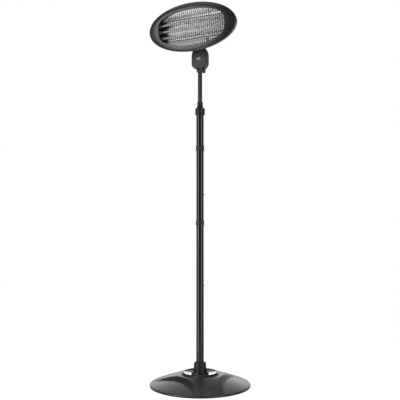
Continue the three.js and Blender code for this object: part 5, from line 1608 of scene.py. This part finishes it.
@dataclass
class Head(SubAssembly):
    """Oval head: bezel, rear housing, wire guard, reflector, brackets and quartz tubes.

    Attributes:
        place: Where the head sits.
        rim: Half axes of the oval rim.
        skirt: Depth of the bezel's skirt.
        wall: Thickness of the bezel.
        crest: Height of the bezel over the rim's plane.
        lip: How far the opening's wall reaches behind that plane.
        opening: Half axes of the opening's oval.
        opening_end: Where the opening's two ends are cut square.
        sharpness: How tight the opening's four corners are.
        back: Half axes of the housing's back.
        back_wall: Thickness of the housing.
        vents: Number of vents in each group.
        vent_pitch: From one vent to the next.
        vent_size: Width and length of a vent.
        vent_x: Middle of each group.
        wire_hole_y: Place of the hole for the supply wires, up the housing's back.
        wires: Number of upright wires.
        wire_pitch: From one wire to the next.
        wire_radius: Radius of a wire.
        frame_radius: Radius of the guard's frame.
        frame_outset: From the opening's edge out to the frame's middle.
        weld: How far crossing wires sink into each other.
        rods: Places of the two cross rods.
        element_pitch: From one quartz tube to the next.
        element_depth: The tubes' axis behind the rim's plane.
        tube_radius: Radius of a quartz tube.
        tube_wall: Thickness of the quartz.
        tube_half: Half a tube's length.
        winding_turns: Turns of a heating coil.
        coil_end: From a tube's end to its coil.
        bracket_x: Inner face of each bracket.
        bracket_z: Its foot and its top.
        bracket_half: Half its height up the face.
        bracket_foot: Length of its foot.
        bracket_t: Thickness of its sheet.
        trim: Half axes of the oval that the reflector is trimmed to.
        mirror_half: Half the length and height of the reflector's sheet.
        mirror_t: Thickness of that sheet.
        trough_z: Bottom of a trough.
        trough_h: Height of the ridge between two troughs.
        flare_z: Where the reflector's sides start and how far they rise.
        tab_at: Place of the guard's round tab.
    """

    body: ClassVar[str] = "head"
    place: HeadPlace = HeadPlace()
    rim: tuple[float, float] = (239.0, 118.0)
    skirt: float = 14.0
    wall: float = 2.4
    crest: float = 8.0
    lip: float = 6.0
    opening: tuple[float, float] = (203.0, 88.0)
    opening_end: float = 183.0
    sharpness: float = 18.0
    back: tuple[float, float] = (206.0, 84.0)
    back_wall: float = 2.5
    vents: int = 9
    vent_pitch: float = 13.0
    vent_size: tuple[float, float] = (3.6, 42.0)
    vent_x: float = 125.0
    wire_hole_y: float = -60.0
    wires: int = 32
    wire_pitch: float = 11.4
    wire_radius: float = 1.2
    frame_radius: float = 1.5
    frame_outset: float = 2.0
    weld: float = 0.5
    rods: tuple[float, float] = (-44.0, 44.0)
    element_pitch: float = 32.0
    element_depth: float = 24.0
    tube_radius: float = 5.5
    tube_wall: float = 1.1
    tube_half: float = 196.0
    winding_turns: float = 120.0
    coil_end: float = 8.0
    bracket_x: float = 199.0
    bracket_z: tuple[float, float] = (-48.6, -12.0)
    bracket_half: float = 43.0
    bracket_foot: float = 38.5
    bracket_t: float = 1.5
    trim: tuple[float, float] = (213.0, 92.0)
    mirror_half: tuple[float, float] = (173.0, 88.0)
    mirror_t: float = 0.8
    trough_z: float = -46.0
    trough_h: float = 12.0
    flare_z: tuple[float, float] = (-34.0, 20.0)
    tab_at: tuple[float, float] = (79.8, -71.0)

    def __post_init__(self) -> None:
        """Works out the angles round the face, crowded towards the opening's four corners."""
        corner = math.radians(23)
        stops = [-corner, corner, math.pi - corner, math.pi + corner, FULL_TURN - corner]
        turns = []
        for i, steps in enumerate((56, 120, 56, 120)):
            share = np.arange(steps) / steps
            eased = share + 0.6 * ((1 - np.cos(math.pi * share)) / 2 - share)
            turns.append(stops[i] + (stops[i + 1] - stops[i]) * eased)
        self.turns = np.concatenate(turns)
        self.frame_z = -self.lip - SEAT_GAP - self.frame_radius
        self.wire_z = self.frame_z - self.frame_radius - self.wire_radius + self.weld

    def face_line(self, share: float, turns: np.ndarray) -> np.ndarray:
        """Draws a line of the face between the opening's edge (0) and the oval rim (1).

        Args:
            share: Which line.
            turns: Angles round the face.

        Returns:
            Points in X and Y.
        """
        oval = ellipse(turns, *self.rim)
        way = np.arctan2(oval[:, 1], oval[:, 0])
        reach = 1 / np.hypot(np.cos(way) / self.opening[0], np.sin(way) / self.opening[1])
        end = self.opening_end / np.maximum(np.abs(np.cos(way)), 1e-6)
        power = self.sharpness
        edge = (reach**-power + end**-power) ** (-1 / power)
        opening = ellipse(way, edge, edge)
        return opening + share * (oval - opening)

    def face_ring(self, share: float, outset: float, z: float) -> np.ndarray:
        """Draws a line of the face, moved outwards square to itself.

        Args:
            share: Which line, from the opening's edge (0) to the rim (1).
            outset: How far it is moved.
            z: Its height over the rim's plane.

        Returns:
            A ring of points.
        """
        step = 0.002
        ahead = self.face_line(share, self.turns + step) - self.face_line(share, self.turns - step)
        ahead /= np.linalg.norm(ahead, axis=1, keepdims=True)
        normal = np.column_stack([ahead[:, 1], -ahead[:, 0]])
        return at_height(self.face_line(share, self.turns) + outset * normal, z)

    def oval_ring(self, half_x: float, half_y: float, z: float) -> np.ndarray:
        """Returns a plain oval ring at a height."""
        return at_height(ellipse(self.turns, half_x, half_y), z)

    def bezel(self) -> None:
        """Builds the domed bezel with its skirt and the lip round the opening."""
        wall, crest = self.wall, self.crest
        rings = np.array(
            [
                self.face_ring(1, 0, -self.skirt), self.face_ring(1, 0, 0),
                self.face_ring(0.7, 0, crest * 0.5), self.face_ring(0.35, 0, crest * 0.86),
                self.face_ring(0, 0, crest), self.face_ring(0, 0, -self.lip),
                self.face_ring(0, wall, -self.lip), self.face_ring(0, wall, crest - 2 * wall),
                self.face_ring(0.35, 0, crest * 0.82 - wall), self.face_ring(1, -wall, -wall - 1),
                self.face_ring(1, -wall, -self.skirt),
            ]
        )
        line = rounded(rings, [0.5, 3.2, 12, 14, 1.8, 0.6, 0, 0, 4, 2, 0], True, 6)
        placed = self.place.set(lofted(line, True))
        self.add("oval_bezel", placed, GUNMETAL, "front_bezel", crease=50)

    def housing(self) -> None:
        """Builds the rear pan with its vents and the holes for the neck."""
        (a, b), wall, depth = self.back, self.back_wall, self.place.back
        seam = -self.skirt - SEAT_GAP
        spigot, top = self.wall + SEAT_GAP, -self.wall - 3

        def flared(out: float, rise: float, inset_by: float) -> np.ndarray:
            """Returns a ring of the pan's flared side."""
            out -= inset_by
            return self.oval_ring(a + out, b + out, rise - depth + inset_by * 0.4)

        flare = [(0, 2), (12, 8.5), (22, 18.5), (28, 30)]
        outer = [
            self.oval_ring(a - 8, b - 8, -depth), *[flared(*point, 0) for point in flare],
            self.face_ring(1, -2, seam - 8), self.face_ring(1, -0.6, seam),
            self.face_ring(1, -spigot, seam), self.face_ring(1, -spigot, top),
            self.face_ring(1, -spigot - wall, top), self.face_ring(1, -spigot - wall, seam - 8),
            *[flared(*flare[i], wall) for i in (3, 2, 0)],
            self.oval_ring(a - 8 - wall, b - 8 - wall, wall - depth),
        ]
        reach = [5, 3, 5, 5, 8, 3, 0.8, 0, 0.3, 0, 3, 6, 4, 3, 3]
        line = rounded(np.array(outer), reach, False, 5)
        pan = lofted(line)
        width, length = self.vent_size
        arc = np.linspace(0, math.pi, 12)
        top_arc = ellipse(arc, width / 2, width / 2) + [0, length / 2 - width / 2]
        slot = extruded(np.vstack([top_arc, -top_arc]), -depth - 2, wall - depth + 2)
        groups = []
        for side in (-1, 1):
            first = side * self.vent_x - self.vent_pitch * (self.vents - 1) / 2
            groups.append(
                row.shape(
                    GUNMETAL, Piece=slot, Count=self.vents, Start=(first * MM, 0, 0),
                    Step=(self.vent_pitch * MM, 0, 0),
                )
            )
        mount_x, mount_y = self.place.mount_x, self.place.mount_up
        holes = [
            rod(radius, -depth - 2, wall - depth + 2, 0, 48).moved(x, y)
            for radius, x, y in (
                (4.3, 0, self.wire_hole_y), (2.8, -mount_x, mount_y), (2.8, mount_x, mount_y),
            )
        ]
        placed = self.place.set(pan.cut(*groups, *holes))
        self.add("rear_pan", placed, GUNMETAL, "rear_housing", crease=40)

    def half_height(self, x: float) -> float:
        """Measures the guard's frame.

        Args:
            x: Distance from its middle.

        Returns:
            Half its height there.
        """
        line = self.face_ring(0, self.frame_outset, 0.0)
        upper = line[line[:, 1] > 0]
        upper = upper[np.argsort(upper[:, 0])]
        return float(np.interp(x, upper[:, 0], upper[:, 1]))

    def guard(self) -> None:
        """Builds the welded wire guard: round frame, upright wires and two cross rods."""
        middle = self.face_ring(0, self.frame_outset, self.frame_z)
        border = swept(middle, self.frame_radius, 14, True)
        first = -self.wire_pitch * (self.wires - 1) / 2
        spots = [first + i * self.wire_pitch for i in range(self.wires)]
        start = bpy.data.meshes.new("wire_spots")
        start.from_pydata([(x * MM, 0, self.wire_z * MM) for x in spots], [], [])
        lengths = start.attributes.new(GuardWires.half_length, "FLOAT", "POINT")
        lengths.data.foreach_set("value", [self.half_height(x) * MM for x in spots])
        upright = wires.shape(GUARD_WIRE, start, Wire_radius=self.wire_radius, Wire_sides=12)
        cross_z = self.wire_z - 2 * self.wire_radius + self.weld
        reach = -first + 2
        bars = [
            rod(self.wire_radius, -reach, reach, 0.3, 12).turned("Y", 90).moved(y=y, z=cross_z)
            for y in self.rods
        ]
        whole = border + upright + bars[0] + bars[1]
        self.add("welded_guard", self.place.set(whole), GUARD_WIRE, "wire_guard", crease=50)

    def tab(self) -> None:
        """Builds the round tab that holds the guard down, with its screw."""
        z = self.wire_z + self.wire_radius + SEAT_GAP
        top = z + 1.6
        disc = barrel(8, 1.8, z, top, 0.5, 64).moved(*self.tab_at)
        screw = cross_screw(3.4, 2.2, 1.5, 22).moved(*self.tab_at, top + SEAT_GAP)
        self.add("round_tab", self.place.set(disc), PHOSPHATED, "guard_tab")
        self.add("tab_screw", self.place.set(screw), ZINC, "guard_screw")

    def trough_height(self, y: np.ndarray) -> np.ndarray:
        """Shapes the reflector: a trough behind each tube and flared sides outside them.

        Args:
            y: Places up the face.

        Returns:
            The sheet's height at each.
        """
        half, edge = self.element_pitch / 2, 1.5 * self.element_pitch
        nearest = np.min([np.abs(y - i * self.element_pitch) for i in (-1, 0, 1)], axis=0)
        trough = self.trough_z + self.trough_h * (nearest / half) ** 2
        share = np.clip((np.abs(y) - edge) / (self.mirror_half[1] - edge), 0, 1)
        side = self.flare_z[0] + self.flare_z[1] * share**0.8
        return np.where(np.abs(y) <= edge, trough, side)

    def mirror(self) -> None:
        """Builds the bright sheet with three troughs, trimmed to the head's oval."""
        length, height = self.mirror_half
        y = np.linspace(-height, height, 133)
        z = self.trough_height(y)
        under = np.column_stack([y, z - self.mirror_t])
        outline = np.vstack([under, np.column_stack([y, z])[::-1]])
        sheet = extruded(outline, -length, length).crossways()
        oval = ellipse(around(200), *self.trim)
        screw_hole = rod(2.1, -50, -5, 0, 32).moved(*self.tab_at)
        placed = self.place.set(sheet.shared(extruded(oval, -FAR, 0)).cut(screw_hole))
        self.add("reflector_sheet", placed, BRIGHT_ALUMINIUM, "reflector", crease=40)

    def brackets(self) -> None:
        """Builds the pressed bracket at each end, with holes for the tubes' caps."""
        (low, top), inner, sheet = self.bracket_z, self.bracket_x, self.bracket_t
        foot, outer = inner - self.bracket_foot, inner + sheet
        outline = rounded(
            [[foot, low], [outer, low], [outer, top], [inner, top], [inner, low + sheet],
             [foot, low + sheet]],
            [0.4, 2.6, 0.4, 0.4, 1.4, 0.4], steps=5,
        )
        half = self.bracket_half
        raised = extruded(outline, -half, half, 0.4, 0.4, 2).turned("X", 90)
        hole = rod(4.7, inner - 2, inner + 4, 0, 48).turned("Y", 90).moved(z=-self.element_depth)
        holes = [hole.moved(y=i * self.element_pitch) for i in (-1, 0, 1)]
        peg = rod(1.8, low - 2, low + 4, 0, 24)
        pegs = [peg.moved(inner - 13, way * self.element_pitch / 2) for way in (-1, 1)]
        one = raised.cut(*holes, *pegs)
        for side, turn in (("right", 0), ("left", 180)):
            self.add(
                f"pressed_bracket_{side}", self.place.set(one.turned("Z", turn)), SATIN_BLACK,
                f"tube_bracket_{side}", crease=40,
            )

    def elements(self) -> None:
        """Builds the three quartz tubes, each with its winding and two ceramic caps."""
        inner = self.tube_radius - self.tube_wall
        coil_half = self.tube_half - self.coil_end
        for i, level in enumerate(("bottom", "middle", "top")):
            y, z = (i - 1) * self.element_pitch, -self.element_depth
            tube = barrel(self.tube_radius, inner, -self.tube_half, self.tube_half, 0.4, 64)
            coil = winding.shape(
                RESISTANCE_WIRE, Turns=self.winding_turns, Radius=inner - 0.9,
                Length=2 * coil_half, Wire_radius=0.42,
            ).moved(z=-coil_half)
            for name, shape, finish, node in (
                ("frosted_tube", tube, FROSTED_QUARTZ, "quartz_tube"),
                ("heating_coil", coil, RESISTANCE_WIRE, "heating_core"),
            ):
                laid = shape.turned("Y", 90).moved(y=y, z=z)
                placed = self.place.set(laid)
                self.add(f"{name}_{level}", placed, finish, f"{node}_{level}", crease=60)
            cap = self.cap()
            for side, turn in (("right", 90), ("left", -90)):
                laid = cap.turned("Y", turn).moved(y=y, z=z)
                self.add(
                    f"steatite_cap_{side}_{level}", self.place.set(laid), STEATITE,
                    f"ceramic_cap_{side}_{level}",
                )

    def cap(self) -> Shape:
        """Returns one ceramic cap about Z, with two grooves round it."""
        bore, end = self.tube_radius + SEAT_GAP, self.bracket_x - SEAT_GAP
        outer, start = 7.5, 187.0
        profile = [[bore, start], [outer, start]]
        for groove in (start + 3, start + 7):
            profile += [[outer, groove], [outer - 0.7, groove + 0.5], [outer - 0.7, groove + 1.2],
                        [outer, groove + 1.7]]
        profile += [
            [outer, end], [4.4, end], [4.4, end + 4.8], [1.2, end + 4.8],
            [1.2, self.tube_half + SEAT_GAP], [bore, self.tube_half + SEAT_GAP],
        ]
        return revolved(profile, 0.3, sides=64, steps=2)

    def build(self) -> None:
        """Builds and dresses the whole head."""
        self.bezel()
        self.housing()
        self.guard()
        self.tab()
        self.mirror()
        self.brackets()
        self.elements()
        self.dress(RUBBER, "wire_grommet")


# ------------------------------------------------------------------ studio


@dataclass
class Studio:
    """Floor, background, lamps and the camera at the picture's own place.

    Attributes:
        camera_place: The camera in metres.
        heading: Degrees that the camera is turned from +Y towards -X.
        pitch: Degrees that it looks up.
        focal_pixels: Focal length in pixels of the picture.
        picture: Width of the picture in pixels.
        middle_x: Column of the picture that the camera's axis meets.
        floor_radius: Radius of the floor in millimetres.
        glow: The floor's own light for the camera, and for gloss and glass.
        room: The room's light on matt surfaces.
        towards: What gloss and glass see of it on the camera's side; behind the heater it is 1.
        overhead: Share of that light that is left overhead.
    """

    camera_place: tuple[float, float, float] = (1.2731, -2.7165, 0.7302)
    heading: float = 25.11
    pitch: float = 3.667
    focal_pixels: float = 593.33
    picture: float = 400.0
    middle_x: float = 200.03
    floor_radius: float = 1500.0
    glow: tuple[float, float] = (0.75, 0.15)
    room: float = 0.2
    towards: float = 0.06
    overhead: float = 0.13

    def camera(self) -> None:
        """Places the camera."""
        data = bpy.data.cameras.new("camera")
        data.sensor_width = 36.0
        data.lens = data.sensor_width * self.focal_pixels / self.picture
        data.shift_x = (self.picture / 2 - self.middle_x) / self.picture
        data.clip_start = 0.05
        thing = bpy.data.objects.new("camera", data)
        thing.location = self.camera_place
        thing.rotation_euler = (math.radians(90 + self.pitch), 0, math.radians(self.heading))
        bpy.context.scene.collection.objects.link(thing)
        bpy.context.scene.camera = thing

    def lamp(
        self, name: str, bearing: float, distance: float, height: float, size: tuple[float, float],
        radiance: float, aim: float = 1.0,
    ) -> None:
        """Adds a soft box.

        Args:
            name: The lamp's name.
            bearing: Degrees from the camera's side of the object, positive to its right.
            distance: How far off it stands, in metres.
            height: Height of its middle, in metres.
            size: Width and height, in metres.
            radiance: Brightness of its face.
            aim: Height that it is aimed at, in metres.
        """
        data = bpy.data.lights.new(name, "AREA")
        data.shape = "RECTANGLE"
        data.size, data.size_y = size
        data.energy = radiance * math.pi * size[0] * size[1]
        thing = bpy.data.objects.new(name, data)
        turn = math.radians(self.heading + bearing)
        thing.location = (distance * math.sin(turn), -distance * math.cos(turn), height)
        lean = math.atan2(height - aim, distance)
        thing.rotation_euler = (math.pi / 2 - lean, 0, turn)
        thing.visible_camera = False
        bpy.context.scene.collection.objects.link(thing)

    @staticmethod
    def mirrored(tree: bpy.types.NodeTree) -> tuple[bpy.types.NodeSocket, bpy.types.Node]:
        """Returns what says that a ray is the camera's own, and that it comes by gloss or glass."""
        rays = wired(tree, "ShaderNodeLightPath").outputs
        either = {"operation": "MAXIMUM", 0: rays["Is Glossy Ray"], 1: rays["Is Transmission Ray"]}
        return rays["Is Camera Ray"], wired(tree, "ShaderNodeMath", either)

    def world(self) -> None:
        """Lights the room: white for the camera.

        Gloss and glass see it pale behind the heater and dark overhead and towards the camera.
        """
        world = bpy.data.worlds.new("studio")
        world.use_nodes = True
        bpy.context.scene.world = world
        tree = world.node_tree
        tree.nodes.clear()
        way = wired(tree, "ShaderNodeTexCoord").outputs["Generated"]
        turn = math.radians(self.heading)
        front = (math.sin(turn), -math.cos(turn), 0.0)
        facing = wired(tree, "ShaderNodeVectorMath", {"operation": "DOT_PRODUCT", 1: front, 0: way})
        rise = wired(tree, "ShaderNodeSeparateXYZ", {0: way})
        dark_side, ceiling = (
            wired(
                tree, "ShaderNodeMapRange",
                {"interpolation_type": "SMOOTHSTEP", "From Min": start, "From Max": end,
                 "To Min": 1.0, "To Max": level, 0: source},
            )
            for start, end, level, source in (
                (-0.6, 0.35, self.towards, facing.outputs["Value"]),
                (0.1, 0.4, self.overhead, rise.outputs["Z"]),
            )
        )
        shown = wired(tree, "ShaderNodeMath", {"operation": "MULTIPLY", 0: dark_side, 1: ceiling})
        camera, seen = self.mirrored(tree)
        room = wired(tree, "ShaderNodeMix", {"data_type": "FLOAT", 2: self.room, 0: seen, 3: shown})
        level = wired(tree, "ShaderNodeMix", {"data_type": "FLOAT", 3: 1.0, 0: camera, 2: room})
        shade = wired(tree, "ShaderNodeBackground", {"Color": (1, 1, 1, 1), "Strength": level})
        wired(tree, "ShaderNodeOutputWorld", {0: shade})

    def floor(self) -> None:
        """Lays the pale floor: white away from the object, with its soft shadow under it."""
        wide = self.floor_radius
        disc = revolved([[1, -6], [wide, -6], [wide, 0], [1, 0]], 0.0, False, 128)
        thing = loose("floor", disc.mesh("floor"))
        made = bpy.data.materials.new("floor_paper")
        made.use_nodes = True
        tree = made.node_tree
        shader = tree.nodes["Principled BSDF"]
        for name, value in {
            "Base Color": linear("#cccccc"), "Roughness": 0.9, "Specular IOR Level": 0.1,
            "Emission Color": (1, 1, 1, 1),
        }.items():
            shader.inputs[name].default_value = value
        camera, seen = self.mirrored(tree)
        faint = wired(tree, "ShaderNodeMath", {"operation": "MULTIPLY", 1: self.glow[1], 0: seen})
        glow = wired(
            tree, "ShaderNodeMix", {"data_type": "FLOAT", 3: self.glow[0], 0: camera, 2: faint}
        )
        tree.links.new(glow.outputs[0], shader.inputs["Emission Strength"])
        thing.data.materials.append(made)

    def build(self) -> None:
        """Sets up the whole studio."""
        bpy.context.scene.view_settings.view_transform = "Standard"
        self.camera()
        self.world()
        self.floor()
        self.lamp("soft_box_left", -54, 1.5, 1.53, (0.7, 1.54), 4.5, 1.53)
        self.lamp("soft_box_low_left", -54, 0.9, 0.4, (0.42, 0.8), 4.5, 0.4)
        self.lamp("soft_box_right", 43, 1.5, 1.0, (0.55, 2.0), 4.2, 1.0)
        self.lamp("soft_box_back", 180, 2.5, 0.9, (2.3, 1.1), 1.1, 0.9)
        self.lamp("soft_box_back_high", 180, 2.5, 1.95, (2.0, 1.0), 0.6, 1.0)
        self.lamp("soft_box_overhead", 180, 1.1, 3.2, (1.6, 1.4), 1.0, 0.5)
        self.lamp("soft_box_top", -50, 1.3, 3.2, (1.3, 1.1), 1.5, 1.7)


ring = RingOfCopies()
row = RowOfCopies()
wires = GuardWires()
winding = Winding()


def main() -> None:
    """Builds the studio and every sub-assembly, from the floor up."""
    logging.basicConfig(level=logging.INFO, format="%(name)s: %(message)s")
    Studio().build()
    Base().build()
    Pole().build()
    Mast().build()
    Neck().build()
    Head().build()


if __name__ == "__main__":
    main()
